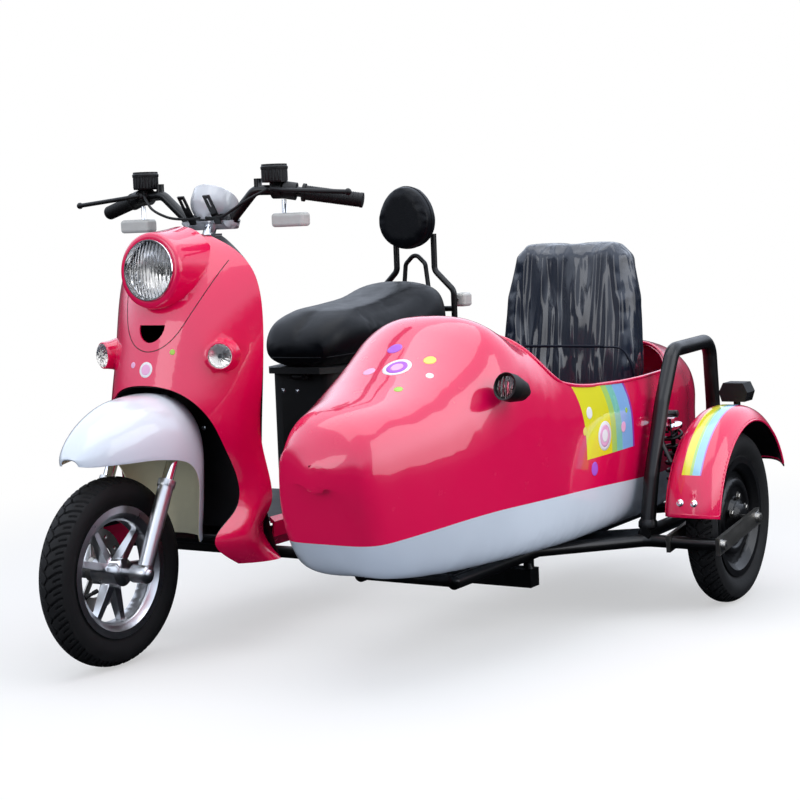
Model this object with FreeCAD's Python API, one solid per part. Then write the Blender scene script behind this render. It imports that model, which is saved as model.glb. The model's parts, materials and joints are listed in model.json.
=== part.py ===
"""Electric scooter with a sidecar on its left: every piece is its own solid, in millimetres.

The pieces are drawn with x = 0 on the scooter's middle plane and +x towards the sidecar,
y = 0 at the front axle with +y rearward, and z = 0 on the ground. At the end the whole part
is shifted so that its origin is the middle of its bounding box's underside.
"""
import FreeCAD
import Part
import math
import os

V = FreeCAD.Vector
ORIGIN = V(0, 0, 0)
AXIS_X = V(1, 0, 0)
AXIS_Y = V(0, 1, 0)
AXIS_Z = V(0, 0, 1)

# One overrun for every cut, and the gap between pieces that only meet
CUT = 10.0
GAP = 0.3

# Wheels: all three carry the same small tyre
TYRE_R = 197.0
TYRE_W = 72.0
TYRE_SHOULDER_R = 176.0
TYRE_TREAD_HALF_W = 31.0
TYRE_WALL = 7.0
BEAD_R = 127.0
BEAD_HALF_W = 24.0
RIM_FLANGE_R = 137.0
RIM_HALF_W = 28.0
RIM_WELL_R = 106.0
RIM_WELL_HALF_W = 14.0
RIM_WALL = 4.5
HUB_R = 29.0
HUB_HALF_W = 33.0
SPOKE_ROOT_W = 19.0
SPOKE_TIP_W = 13.0
SPOKE_ROOT_T = 26.0
SPOKE_TIP_T = 14.0
SPOKE_PAIR_ANGLES = (50.0, 170.0, 290.0)
SPOKE_ROOT_SPREAD = 13.0
SPOKE_TIP_SPREAD = 21.0
AXLE_R = 6.0
AXLE_CLEARANCE = 0.5

# Where the wheels stand
REAR_AXLE_Y = 1180.0
SIDECAR_WHEEL_X = 950.0
SIDECAR_WHEEL_Y = 1043.0

# Brake disc on the front wheel's far side
DISC_R = 88.0
DISC_BORE_R = 58.0
DISC_T = 3.5
DISC_X = 43.0
DISC_ARM_W = 14.0
DISC_ARM_COUNT = 5
DISC_HOLE_R = 4.0
DISC_HOLE_COUNT = 12

# Steering: the fork's rake, and how far its legs stand in front of the steering axis
RAKE = 26.8
AXIS_BEHIND_AXLE = 36.0
LEG_AHEAD = 25.0
LEG_X = 80.0
LEG_R = 16.5
LEG_COLLAR_R = 19.0
LEG_COLLAR_H = 14.0
LEG_TOP_Z = 376.0
LEG_FOOT_DROP = 12.0
STANCHION_R = 12.5
YOKE_Z = 452.0
YOKE_T = 22.0
YOKE_END_R = 16.0
STEM_R = 14.0
STEM_TOP_Z = 912.0
HEAD_TUBE_R = 21.0
HEAD_TUBE_LOW_Z = 606.0
HEAD_TUBE_HIGH_Z = 850.0
HEAD_CLEARANCE = 0.6
HEAD_CUP_R = 25.0
HEAD_CUP_H = 12.0

# Leg shield: a shell whose plan bows forward from its rear seam
SHIELD_SEAM_Y = 300.0
SHIELD_WALL = 4.0
SHIELD_PLAN_POWER = 2.5
SHIELD_LEVELS = (
    # height, half width at the seam, forward face, share of the plain bow against the boxed one
    (185.0, 218.0, 176.0, 0.0),
    (300.0, 197.0, 160.0, 0.0),
    (430.0, 181.0, 140.0, 0.1),
    (560.0, 188.0, 132.0, 0.5),
    (640.0, 196.0, 154.0, 0.9),
    (700.0, 198.0, 173.0, 1.0),
    (760.0, 193.0, 202.0, 1.0),
    (815.0, 170.0, 236.0, 1.0),
    (856.0, 122.0, 262.0, 1.0),
    (880.0, 70.0, 282.0, 1.0),
)
SHIELD_BOW_SHARES = (0.0, 0.2, 0.4, 0.58, 0.74, 0.87, 0.96, 1.0)

# Wheel arch cut in the leg shield
ARCH_TOP_Z = 570.0
ARCH_OUTLINE = (
    # half width, height
    (166.0, 150.0),
    (167.0, 240.0),
    (160.0, 360.0),
    (151.0, 435.0),
    (134.0, 499.0),
    (92.0, 548.0),
)
ARCH_BACK_Y = 268.0
LINER_WALL = 3.0
STEM_SLOT_R = 24.0

# Knee panel behind the leg shield
KNEE_LEVELS = (
    # height, rear face on the middle plane
    (185.0, 334.0),
    (480.0, 338.0),
    (640.0, 352.0),
    (740.0, 374.0),
    (815.0, 402.0),
    (856.0, 412.0),
    (880.0, 408.0),
)
TOP_COVER_T = 5.0

# Headlamp pod on the leg shield
HEADLAMP_Y = 177.0
HEADLAMP_Z = 812.0
HEADLAMP_TILT = 4.0
POD_R = 80.0
POD_ROOT_R = 96.0
POD_DEPTH = 96.0
POD_LIP_R = 67.0
POD_LIP_AHEAD = 7.0
BEZEL_R = POD_LIP_R - GAP
BEZEL_T = 11.0
LENS_R = 61.0
LENS_BULGE = 11.0
LENS_T = 4.0
BOWL_DEPTH = 46.0

# Small vent below the headlamp, round at its foot
VENT_Z = 693.0
VENT_R = 34.0
VENT_TOP_Z = 696.0

# Indicator lamps on the leg shield
INDICATOR_X = 156.0
INDICATOR_Y = 202.0
INDICATOR_Z = 629.0
INDICATOR_R = 23.0
INDICATOR_DEPTH = 40.0
INDICATOR_TURN = 24.0

# Floor between the leg shield and the seat's bucket
FLOOR_Z = 262.0
FLOOR_T = 10.0
FLOOR_FRONT_Y = 336.0
FLOOR_REAR_Y = 716.0
FLOOR_HALF_W = 150.0
SKIRT_DROP = 74.0
SKIRT_WALL = 4.0

# Struts that join the scooter's frame to the sidecar's: level under the rails, then down to the sidecar's tubes
STRUT_Z = 188.0
STRUT_R = 13.0
STRUT_BEND_X = 250.0
STRUT_LOW_X = 330.0
SUB_Z = 167.0

# Scooter frame
FRAME_TUBE_R = 15.0
DOWNTUBE_R = 17.0
DOWNTUBE_Y = 303.0
RAIL_X = 114.0
RAIL_Z = STRUT_Z + STRUT_R + FRAME_TUBE_R + GAP
RAIL_REAR_Z = 470.0
RAIL_RISE_Y = 800.0
RAIL_TOP_Y = 985.0
RAIL_END_Y = 1330.0
TUBE_BEND_R = 60.0
PIVOT_Y = 880.0
PIVOT_Z = 285.0
POST_Y = 740.0
POST_R = 8.0
FLOOR_PAD_PLACES_Y = (430.0, 660.0)
LUG_Y = 925.0
LUG_Z = 388.0
GUSSET_T = 5.0

# Underside of the seat's pad and of the pan below it
SEAT_LOW_Z = 560.0
SEAT_PAN_Z = 546.0

# Bucket under the seat, and the battery in it
BUCKET_FRONT_Y = 716.0
BUCKET_REAR_Y = 1005.0
BUCKET_HALF_W = 96.0
BUCKET_LOW_Z = 310.0
BUCKET_TOP_Z = SEAT_PAN_Z - GAP
BUCKET_WALL = 4.0
BUCKET_CORNER_R = 40.0
BATTERY_LENGTH = 230.0
BATTERY_WIDTH = 160.0
BATTERY_HEIGHT = 180.0

# Tail
TAIL_FRONT_Y = 1016.0
TAIL_REAR_Y = 1372.0
TAIL_HALF_W = 128.0
TAIL_REAR_HALF_W = 66.0
TAIL_LOW_Z = RAIL_REAR_Z + FRAME_TUBE_R + GAP
TAIL_TOP_Z = 540.0
TAIL_WALL = 4.0
REAR_FENDER_R = 236.0
REAR_FENDER_HALF_W = 58.0
REAR_FENDER_WALL = 3.0
REAR_FENDER_FROM = -16.0
REAR_FENDER_TO = 110.0
PLATE_W = 120.0
PLATE_H = 90.0
PLATE_T = 2.5
PLATE_HOLE_R = 3.2
PLATE_HOLE_SPACING = 80.0

# Rear swing arm and its two spring legs
SWINGARM_X = 82.0
SWINGARM_W = 18.0
SWINGARM_H = 34.0
SPRING_R = 22.0
SPRING_WIRE_R = 3.6
DAMPER_R = 9.0

# Seat, hinged at its front
SEAT_FRONT_Y = 690.0
SEAT_REAR_Y = 1240.0
SEAT_HALF_W = 138.0
SEAT_NOSE_HALF_W = 96.0
SEAT_SECTIONS = (
    # share of the length, share of the half width, crown height
    (0.0, 0.60, 625.0),
    (0.06, 0.78, 668.0),
    (0.2, 0.90, 694.0),
    (0.45, 0.97, 706.0),
    (0.7, 1.0, 728.0),
    (0.92, 0.97, 744.0),
    (1.0, 0.82, 728.0),
)
SEAT_HINGE_Y = 706.0
SEAT_HINGE_Z = 538.0
HINGE_PIN_R = 4.0
HINGE_BRACKET_HALF_W = 14.0
HINGE_EAR_W = 8.0

# Backrest behind the seat
BACKREST_Y = 1273.0
BACKREST_POST_X = 58.0
BACKREST_POST_R = 8.0
BACKREST_FOOT_Z = 716.0
BACKREST_PAD_LOW_Z = 826.0
BACKREST_PAD_TOP_Z = 996.0
BACKREST_PAD_HALF_W = 80.0
BACKREST_PAD_T = 56.0
REAR_LAMP_OUT = 6.0
REAR_LAMP_BEHIND = 38.0
REAR_LAMP_Z = 690.0
REAR_LAMP_HALF_W = 17.0
REAR_LAMP_HALF_D = 22.0
REAR_LAMP_HALF_H = 18.0
RUNG_Z = 668.0
ARCH_RISE = 28.0
ARCH_BEND_R = 18.0
ARCH_SHOULDER_SHARE = 0.52
ARCH_FOOT_SHARE = 0.76

# Front fender: polar sections about a point above the axle
FENDER_WALL = 3.0
FENDER_SECTION_POWER = 2.4
FENDER_SECTIONS = (
    # crown along and up, skirt along and up, half width
    (-113.0, 446.0, -106.0, 430.0, 24.0),
    (-92.0, 472.0, -84.0, 427.0, 47.0),
    (-50.0, 506.0, -44.0, 427.0, 68.0),
    (6.0, 534.0, 6.0, 427.0, 87.0),
    (62.0, 549.0, 58.0, 425.0, 100.0),
    (122.0, 554.0, 108.0, 418.0, 107.0),
    (178.0, 548.0, 150.0, 402.0, 106.0),
    (222.0, 522.0, 173.0, 374.0, 103.0),
    (242.0, 470.0, 182.0, 340.0, 98.0),
    (245.0, 396.0, 185.0, 300.0, 92.0),
    (243.0, 314.0, 188.0, 264.0, 86.0),
    (238.0, 240.0, 204.0, 228.0, 76.0),
)
FENDER_BRACKET_HALF_W = 105.2

# Handlebar and what it carries
BAR_R = 11.0
BAR_FOOT_X = 53.0
BAR_FOOT_Y = 392.0
BAR_FOOT_Z = 908.0
BAR_TOP_X = 128.0
BAR_TOP_Y = 388.0
BAR_TOP_Z = 976.0
BAR_GRIP_X = 196.0
BAR_GRIP_Y = 400.0
BAR_GRIP_Z = 974.0
BAR_END_X = 352.0
BAR_END_Y = 468.0
BAR_END_Z = 945.0
BAR_BEND_R = 30.0
GRIP_R = 16.5
GRIP_FLANGE_R = 20.0
TOP_YOKE_HALF_W = 70.0
TOP_YOKE_D = 44.0
TOP_YOKE_T = 16.0
TOP_YOKE_Z = 904.0
CLAMP_R = 16.0
TAB_X = 35.0
TAB_Y = 335.0
TAB_Z = 970.0
TAB_FOOT_Y = 378.0
TAB_W = 9.0
TAB_T = 4.0
LEVER_PIVOT_X = 186.0
LEVER_PIVOT_Y = 374.0
LEVER_PIVOT_Z = 977.0
LEVER_TIP_X = 372.0
LEVER_TIP_Y = 384.0
LEVER_TIP_Z = 962.0
LEVER_R = 5.0
RESERVOIR_X = 179.0
RESERVOIR_Y = 392.0
RESERVOIR_LOW_Z = 991.0
RESERVOIR_TOP_Z = 1030.0
RESERVOIR_R = 28.0
BAR_LAMP_X = 212.0
BAR_LAMP_Y = 399.0
BAR_LAMP_Z = 909.0
BAR_LAMP_LENGTH = 84.0
BAR_LAMP_H = 30.0
BAR_LAMP_D = 34.0
BOSS_X = 136.0
BOSS_HOLE_R = 4.0
BOSS_DEPTH = 14.0

# Control cables: steps from the lever's pivot, then steps from the top plate
CABLE_R = 3.0
CABLE_BEND_R = 16.0
CABLE_FROM_LEVER = ((-13.0, 2.0, 0.0), (-44.0, -26.0, -18.0), (-74.0, -40.0, -39.0))
CABLE_AT_YOKE = ((58.0, -46.0, 12.0), (8.0, -26.0, 17.0))

# Speedometer: a bowl that faces the rider
SPEEDO_Y = 406.0
SPEEDO_Z = 949.0
SPEEDO_TILT = 32.0
SPEEDO_R = 52.0
SPEEDO_DEPTH = 62.0
SPEEDO_WALL = 3.0
SPEEDO_FOOT_Y = 404.0
SPEEDO_FOOT_Z = 912.0

# Sidecar body: sections along its length, about its waist
BODY_X = 575.0
BODY_HALF_W = 232.0
BODY_FRONT_Y = -80.0
BODY_REAR_Y = 1505.0
BODY_WAIST_Z = 430.0
BODY_TOP_Z = 685.0
BODY_LOW_Z = 188.0
BODY_WALL = 5.0
BODY_NOSE_SHARE = 2.6
BODY_UPPER_POWER = 2.7
BODY_LOWER_POWER = 5.4
BODY_SECTION_SHARES = (
    # share of the length, then shares of the half width, the rise to the top and the drop to the keel
    (0.0, 0.08, 0.08, 0.13),
    (0.0126, 0.41, 0.25, 0.30),
    (0.044, 0.50, 0.425, 0.76),
    (0.088, 0.62, 0.50, 0.885),
    (0.145, 0.735, 0.63, 0.925),
    (0.227, 0.84, 0.905, 0.955),
    (0.28, 0.90, 1.06, 0.968),
    (0.332, 0.945, 0.935, 0.98),
    (0.442, 0.995, 0.86, 1.0),
    (0.578, 1.0, 0.80, 1.0),
    (0.714, 0.972, 0.735, 1.0),
    (0.808, 0.90, 0.66, 0.995),
    (0.89, 0.782, 0.58, 0.98),
    (0.946, 0.62, 0.44, 0.84),
    (0.981, 0.42, 0.25, 0.58),
    (1.0, 0.08, 0.05, 0.10),
)
# Parting line between the painted shell and the white hull, seen from the side
BODY_SEAM = (
    (-120.0, 285.0),
    (0.0, 300.0),
    (180.0, 317.0),
    (420.0, 320.0),
    (640.0, 315.0),
    (860.0, 304.0),
    (1200.0, 296.0),
    (1540.0, 300.0),
)
BODY_SEAM_Z = 305.0
# Cockpit cut, seen from the side, from the cowl's edge to the tail
COCKPIT_EDGE = (
    (456.0, 712.0),
    (464.0, 668.0),
    (474.0, 624.0),
    (490.0, 586.0),
    (520.0, 556.0),
    (570.0, 541.0),
    (660.0, 532.0),
    (800.0, 527.0),
    (940.0, 526.0),
    (1060.0, 528.0),
    (1136.0, 548.0),
    (1186.0, 584.0),
    (1206.0, 640.0),
)
COCKPIT_CEILING_Z = 740.0
PLINTH_FRONT_Y = 640.0
PLINTH_REAR_Y = 1010.0
PLINTH_TOP_Z = 318.0
PLINTH_HALF_W = 190.0

# Sidecar seat
CUSHION_T = 92.0
CUSHION_HALF_W = 192.0
CUSHION_FRONT_Y = 622.0
CUSHION_REAR_Y = 957.0
SEATBACK_Y = 1000.0
SEATBACK_X = 570.0
SEATBACK_LOW_HALF_W = 189.0
SEATBACK_TOP_HALF_W = 154.0
SEATBACK_TOP_Z = 850.0
SEATBACK_T = 84.0
SEATBACK_LEAN = 7.0
SEATBACK_LOW_Z = 313.5

# Sidecar frame under the body
SUB_TUBE_R = 15.0
SUB_INNER_X = 432.0
SUB_OUTER_X = 655.0
SUB_FRONT_Y = 280.0
SUB_REAR_Y = 1262.0
STRUT_FRONT_Y = 350.0
STRUT_MID_Y = 740.0
STRUT_END_X = -129.0
PAD_HALF_W = 10.0
PAD_HALF_L = 16.0
PAD_PLACES_Y = (500.0, 900.0)
BEAM_Y = 610.0
BEAM_LOW_Z = 96.0
BEAM_W = 40.0
BEAM_REACH = 14.0
SIDE_RAIL_X = 840.0
SIDE_RAIL_FRONT_Y = 812.0
SIDE_RAIL_Z = 188.0
GUSSET_FRONT_Y = 690.0
GUSSET_REAR_Y = 905.0
PIVOT_BAR_Y = 826.0
PIVOT_BAR_Z = 171.0
PIVOT_BAR_R = 14.0
PIVOT_BAR_BEND_R = 40.0
PIVOT_BAR_FRONT_Y = 620.0

# Hoop beside the cockpit
HOOP_R = 17.0
HOOP_PATH = (
    # along, up
    (834.0, 188.0),
    (860.0, 310.0),
    (928.0, 468.0),
    (996.0, 582.0),
    (1222.0, 588.0),
    (1240.0, 440.0),
    (1240.0, 188.0),
)
HOOP_BEND_R = 42.0
HOOP_STAYS = (
    # along, up, angle on the fender
    (905.0, 400.0, 40.0),
    (1254.0, 330.0, 148.0),
)

# Sidecar wheel's swing arm and spring leg
ARM_INNER_X = 893.0
ARM_OUTER_X = 1008.0
ARM_T = 9.0
ARM_H = 38.0
ARM_BOLT_R = 11.0
ARM_BOLT_H = 9.0
SIDE_SPRING_X = 846.0
SIDE_SPRING_TOP_Y = 960.0
SIDE_SPRING_TOP_Z = 440.0
SIDE_SPRING_LOW_Y = 1010.0
SIDE_SPRING_LOW_Z = 212.0

# Sidecar fender
SIDE_FENDER_R = 256.0
SIDE_FENDER_LIP_R = 222.0
SIDE_FENDER_HALF_W = 64.0
SIDE_FENDER_WALL = 3.5
SIDE_FENDER_FROM = 8.0
SIDE_FENDER_TO = 156.0
STAY_T = 5.0
STAY_W = 26.0

# Marker box behind the fender's crown
MARKER_Y = 1180.0
MARKER_W = 70.0
MARKER_H = 44.0
MARKER_D = 52.0

# Spotlight on the sidecar's cowl
SPOT_X = 795.0
SPOT_Y = 262.0
SPOT_Z = 568.0
SPOT_R = 28.0
SPOT_DEPTH = 72.0
SPOT_TURN = -12.0
SPOT_TILT = 15.0
SPOT_STALK_R = 7.0



def sin(angle):
    return math.sin(math.radians(angle))


def cos(angle):
    return math.cos(math.radians(angle))


def tan(angle):
    return math.tan(math.radians(angle))


def axis_y(height):
    """Place along y of the steering axis at a height."""
    return AXIS_BEHIND_AXLE + (height - TYRE_R) * tan(RAKE)


def leg_y(height):
    """Place along y of the fork's legs at a height."""
    return axis_y(height) - LEG_AHEAD / cos(RAKE)


def rod(start, end, radius):
    """Round bar between two points."""
    return Part.makeCylinder(radius, (end - start).Length, start, end - start)


def box(x0, x1, y0, y1, z0, z1):
    """Block between two corners."""
    return Part.makeBox(x1 - x0, y1 - y0, z1 - z0, V(x0, y0, z0))


def fuse(shapes):
    """One solid from pieces that meet."""
    solid = shapes[0].multiFuse(shapes[1:]) if len(shapes) > 1 else shapes[0]
    return solid.removeSplitter()


def mirrored(shape):
    """The same shape on the other side of the scooter's middle plane."""
    return shape.mirror(ORIGIN, AXIS_X)


def is_upright(edge):
    """True for a straight edge along z."""
    ends = edge.Vertexes
    return abs(ends[0].X - ends[-1].X) < GAP and abs(ends[0].Y - ends[-1].Y) < GAP and len(ends) == 2


def both_sides(shape):
    """The shape and its mirror image, which don't touch."""
    return Part.makeCompound([shape, mirrored(shape)])


def polygon_face(points):
    return Part.Face(Part.makePolygon(list(points) + [points[0]]))


def smooth_edge(points):
    """Open smooth curve through points."""
    curve = Part.BSplineCurve()
    curve.interpolate(points)
    return curve.toShape()


def smooth_loop(points):
    """Closed smooth wire through points."""
    curve = Part.BSplineCurve()
    curve.interpolate(points, True)
    return Part.Wire([curve.toShape()])


def strip_wire(outer, inner):
    """Closed wire of two smooth curves joined at their ends."""
    return Part.Wire([
        smooth_edge(outer),
        Part.makeLine(outer[-1], inner[-1]),
        smooth_edge(inner[::-1]),
        Part.makeLine(inner[0], outer[0]),
    ])


def bent_tube(points, radius, bend):
    """Tube along straight runs joined by tangent arcs."""
    edges = []
    start = points[0]
    for before, corner, after in zip(points, points[1:], points[2:]):
        into = (before - corner).normalize()
        out = (after - corner).normalize()
        half = into.getAngle(out) / 2
        back = bend / math.tan(half)
        middle = (into + out).normalize()
        top = corner + middle * (bend / math.sin(half) - bend)
        entry = corner + into * back
        leave = corner + out * back
        edges.append(Part.makeLine(start, entry))
        edges.append(Part.Arc(entry, top, leave).toShape())
        start = leave
    edges.append(Part.makeLine(start, points[-1]))
    path = Part.Wire(edges)
    ring = Part.Wire([Part.makeCircle(radius, points[0], points[1] - points[0])])
    return path.makePipeShell([ring], True, True)


def spun(outline, centre, axis, first, angle=360.0):
    """Solid of revolution: outline holds (along the axis, radius) pairs, first is the radius' direction."""
    points = [centre + axis * along + first * radius for along, radius in outline]
    return polygon_face(points).revolve(centre, axis, angle)


# Wheels

def tyre_profile():
    """Closed section of the tyre in the x-z plane, with z as the radius."""
    shoulder_r = TYRE_SHOULDER_R + TYRE_WALL
    belly_r = (BEAD_R + TYRE_SHOULDER_R) / 2 + TYRE_WALL
    neck_r = RIM_FLANGE_R + GAP * 5
    foot_r = BEAD_R + GAP
    toe = BEAD_HALF_W - TYRE_WALL
    shoulder, neck, heel, inner = [
        [V(side * x, 0, radius) for side in (-1, 1)]
        for x, radius in ((TYRE_TREAD_HALF_W, shoulder_r), (BEAD_HALF_W, neck_r), (BEAD_HALF_W, foot_r),
                          (toe, foot_r))]
    belly = [V(side * TYRE_W / 2, 0, belly_r) for side in (-1, 1)]
    edges = [
        Part.Arc(shoulder[0], V(0, 0, TYRE_R), shoulder[1]).toShape(),
        Part.Arc(shoulder[1], belly[1], neck[1]).toShape(),
        Part.makeLine(neck[1], heel[1]),
        Part.makeLine(heel[1], inner[1]),
        Part.Arc(inner[1], V(0, 0, TYRE_R - TYRE_WALL * 2), inner[0]).toShape(),
        Part.makeLine(inner[0], heel[0]),
        Part.makeLine(heel[0], neck[0]),
        Part.Arc(neck[0], belly[0], shoulder[0]).toShape(),
    ]
    return Part.Face(Part.Wire(edges))


def tyre(centre):
    ring = tyre_profile().revolve(ORIGIN, AXIS_X, 360)
    ring.translate(centre)
    return ring


def rim_barrel():
    """Rim with two flanges, bead seats and a drop centre."""
    wall = RIM_WALL
    outline = [
        (-RIM_HALF_W, RIM_FLANGE_R),
        (-BEAD_HALF_W - GAP, RIM_FLANGE_R - wall),
        (-BEAD_HALF_W - GAP, BEAD_R),
        (-RIM_WELL_HALF_W - wall, BEAD_R),
        (-RIM_WELL_HALF_W, RIM_WELL_R + wall),
        (RIM_WELL_HALF_W, RIM_WELL_R + wall),
        (RIM_WELL_HALF_W + wall, BEAD_R),
        (BEAD_HALF_W + GAP, BEAD_R),
        (BEAD_HALF_W + GAP, RIM_FLANGE_R - wall),
        (RIM_HALF_W, RIM_FLANGE_R),
        (RIM_HALF_W, BEAD_R - wall),
        (RIM_WELL_HALF_W + wall * 2, BEAD_R - wall * 2),
        (RIM_WELL_HALF_W, RIM_WELL_R),
        (-RIM_WELL_HALF_W, RIM_WELL_R),
        (-RIM_WELL_HALF_W - wall * 2, BEAD_R - wall * 2),
        (-RIM_HALF_W, BEAD_R - wall),
    ]
    return spun(outline, ORIGIN, AXIS_X, AXIS_Z)


def spoke(root_angle, tip_angle):
    """Tapered bar from the hub to the barrel, angles from the top towards the front."""
    start = V(0, -sin(root_angle), cos(root_angle)) * (HUB_R - SPOKE_TIP_T / 2)
    end = V(0, -sin(tip_angle), cos(tip_angle)) * (RIM_WELL_R + RIM_WALL / 2)
    along = (end - start).normalize()
    side = AXIS_X.cross(along)
    wires = []
    for place, width, thick in ((start, SPOKE_ROOT_W, SPOKE_ROOT_T), (end, SPOKE_TIP_W, SPOKE_TIP_T)):
        corners = [place + side * (width / 2 * a) + AXIS_X * (thick / 2 * b)
                   for a, b in ((-1, -1), (1, -1), (1, 1), (-1, 1))]
        wires.append(Part.makePolygon(corners + corners[:1]))
    return Part.makeLoft(wires, True, True)


def hub(half_width, radius):
    """Hub barrel with its bore for the axle."""
    barrel = rod(V(-half_width, 0, 0), V(half_width, 0, 0), radius)
    bore = rod(V(-half_width - CUT, 0, 0), V(half_width + CUT, 0, 0), AXLE_R + AXLE_CLEARANCE)
    return barrel, bore


def cast_rim(half_hub, hub_radius):
    """Cast wheel: three pairs of spokes, each pair opening like a V."""
    barrel, bore = hub(half_hub, hub_radius)
    spokes = []
    for centre in SPOKE_PAIR_ANGLES:
        for side in (-1, 1):
            spokes.append(spoke(centre + side * SPOKE_ROOT_SPREAD, centre + side * SPOKE_TIP_SPREAD))
    return fuse([rim_barrel(), barrel] + spokes).cut(bore)


def motor_rim():
    """Rear wheel: rim barrel on a wide motor drum with cooling ribs and cast spokes."""
    drum_r = RIM_WELL_R * 0.78
    drum_half = TYRE_W * 0.45
    outline = [(-HUB_HALF_W * 1.3, AXLE_R + AXLE_CLEARANCE), (-HUB_HALF_W * 1.3, HUB_R),
               (-drum_half, HUB_R + RIM_WALL), (-drum_half, drum_r - RIM_WALL),
               (-drum_half + RIM_WALL, drum_r), (drum_half - RIM_WALL, drum_r),
               (drum_half, drum_r - RIM_WALL), (drum_half, HUB_R + RIM_WALL),
               (HUB_HALF_W * 1.3, HUB_R), (HUB_HALF_W * 1.3, AXLE_R + AXLE_CLEARANCE)]
    drum = spun(outline, ORIGIN, AXIS_X, AXIS_Z)
    arms = []
    for step in range(6):
        angle = step * 60.0
        along = V(0, -sin(angle), cos(angle))
        side = AXIS_X.cross(along)
        corners = [along * (drum_r - RIM_WALL) + side * (SPOKE_ROOT_W / 2 * a)
                   + AXIS_X * (SPOKE_TIP_T / 2 * b) for a, b in ((-1, -1), (1, -1), (1, 1), (-1, 1))]
        foot = polygon_face(corners)
        arms.append(foot.extrude(along * (RIM_WELL_R - drum_r + RIM_WALL * 1.5)))
    return fuse([rim_barrel(), drum] + arms)


def pressed_rim():
    """Sidecar wheel: rim barrel with a pressed disc of ringed steps and a hub."""
    barrel, bore = hub(HUB_HALF_W, HUB_R)
    reach = RIM_WELL_R + RIM_WALL / 2
    wall = RIM_WALL
    front = [(HUB_HALF_W * 0.7, HUB_R - wall), (HUB_HALF_W * 0.7, HUB_R + wall * 2),
             (HUB_HALF_W * 0.35, HUB_R + wall * 4), (HUB_HALF_W * 0.35, reach * 0.62),
             (HUB_HALF_W * 0.55, reach * 0.68), (HUB_HALF_W * 0.55, reach * 0.78),
             (HUB_HALF_W * 0.2, reach * 0.86), (HUB_HALF_W * 0.2, reach)]
    back = [(along - wall, radius) for along, radius in reversed(front)]
    disc = spun(front + back, ORIGIN, AXIS_X, AXIS_Z)
    return fuse([rim_barrel(), disc, barrel]).cut(bore)


def brake_disc():
    """Drilled brake disc on its spider, against the hub's end on the far side."""
    ring = rod(V(-DISC_X - DISC_T, 0, 0), V(-DISC_X, 0, 0), DISC_R)
    ring = ring.cut(rod(V(-DISC_X - DISC_T - CUT, 0, 0), V(-DISC_X + CUT, 0, 0), DISC_BORE_R))
    holes = []
    for step in range(DISC_HOLE_COUNT):
        angle = step * 360.0 / DISC_HOLE_COUNT
        place = V(0, sin(angle), cos(angle)) * ((DISC_R + DISC_BORE_R) / 2)
        holes.append(rod(place - AXIS_X * (DISC_X + DISC_T + CUT), place - AXIS_X * (DISC_X - CUT),
                         DISC_HOLE_R))
    ring = ring.cut(Part.makeCompound(holes))
    boss = rod(V(-DISC_X - DISC_T, 0, 0), V(-HUB_HALF_W - GAP, 0, 0), HUB_R)
    arms = []
    for step in range(DISC_ARM_COUNT):
        angle = step * 360.0 / DISC_ARM_COUNT
        arm = box(-DISC_X - DISC_T, -DISC_X, -DISC_ARM_W / 2, DISC_ARM_W / 2, 0, DISC_BORE_R + DISC_T)
        arm.rotate(ORIGIN, AXIS_X, angle)
        arms.append(arm)
    bore = rod(V(-DISC_X - DISC_T - CUT, 0, 0), V(CUT, 0, 0), AXLE_R + AXLE_CLEARANCE)
    disc = fuse([ring, boss] + arms).cut(bore)
    disc.translate(V(0, 0, TYRE_R))
    return disc


def wheels():
    """Three wheels; each tyre and rim is its own piece."""
    places = {"front": V(0, 0, TYRE_R), "rear": V(0, REAR_AXLE_Y, TYRE_R),
              "sidecar": V(SIDECAR_WHEEL_X, SIDECAR_WHEEL_Y, TYRE_R)}
    rims = {"front": cast_rim(HUB_HALF_W, HUB_R), "rear": motor_rim(), "sidecar": pressed_rim()}
    nodes = {}
    for name, place in places.items():
        nodes[name + "_tyre"] = tyre(place)
        rims[name].translate(place)
        nodes[name + "_rim"] = rims[name]
    nodes["brake_disc"] = brake_disc()
    return nodes


# Fork and front fender

def fork_lowers():
    """Two lower legs with collars, axle feet and the axle with its nuts."""
    foot = V(LEG_X, leg_y(TYRE_R - LEG_FOOT_DROP), TYRE_R - LEG_FOOT_DROP)
    top = V(LEG_X, leg_y(LEG_TOP_Z), LEG_TOP_Z)
    along = (top - foot).normalize()
    leg = rod(foot, top, LEG_R)
    collar = rod(top - along * LEG_COLLAR_H, top + along * GAP, LEG_COLLAR_R)
    lug = rod(V(LEG_X - LEG_R * 1.1, 0, TYRE_R), V(LEG_X + LEG_R * 1.1, 0, TYRE_R), LEG_R * 1.15)
    bore = rod(top - along * (LEG_TOP_Z - TYRE_R) * 0.5, top + along * CUT, STANCHION_R + GAP)
    leg = fuse([leg, collar, lug]).cut(bore)
    axle = rod(V(-LEG_X - LEG_R * 1.6, 0, TYRE_R), V(LEG_X + LEG_R * 1.6, 0, TYRE_R), AXLE_R)
    nut = rod(V(LEG_X + LEG_R, 0, TYRE_R), V(LEG_X + LEG_R * 1.5, 0, TYRE_R), AXLE_R * 1.7)
    spacer = rod(V(HUB_HALF_W + GAP, 0, TYRE_R), V(LEG_X - LEG_R, 0, TYRE_R), AXLE_R * 1.6)
    far_spacer = rod(V(-DISC_X - DISC_T - GAP, 0, TYRE_R), V(-LEG_X + LEG_R, 0, TYRE_R), AXLE_R * 1.6)
    return fuse([leg, mirrored(leg), axle, nut, mirrored(nut), spacer, far_spacer])


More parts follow.
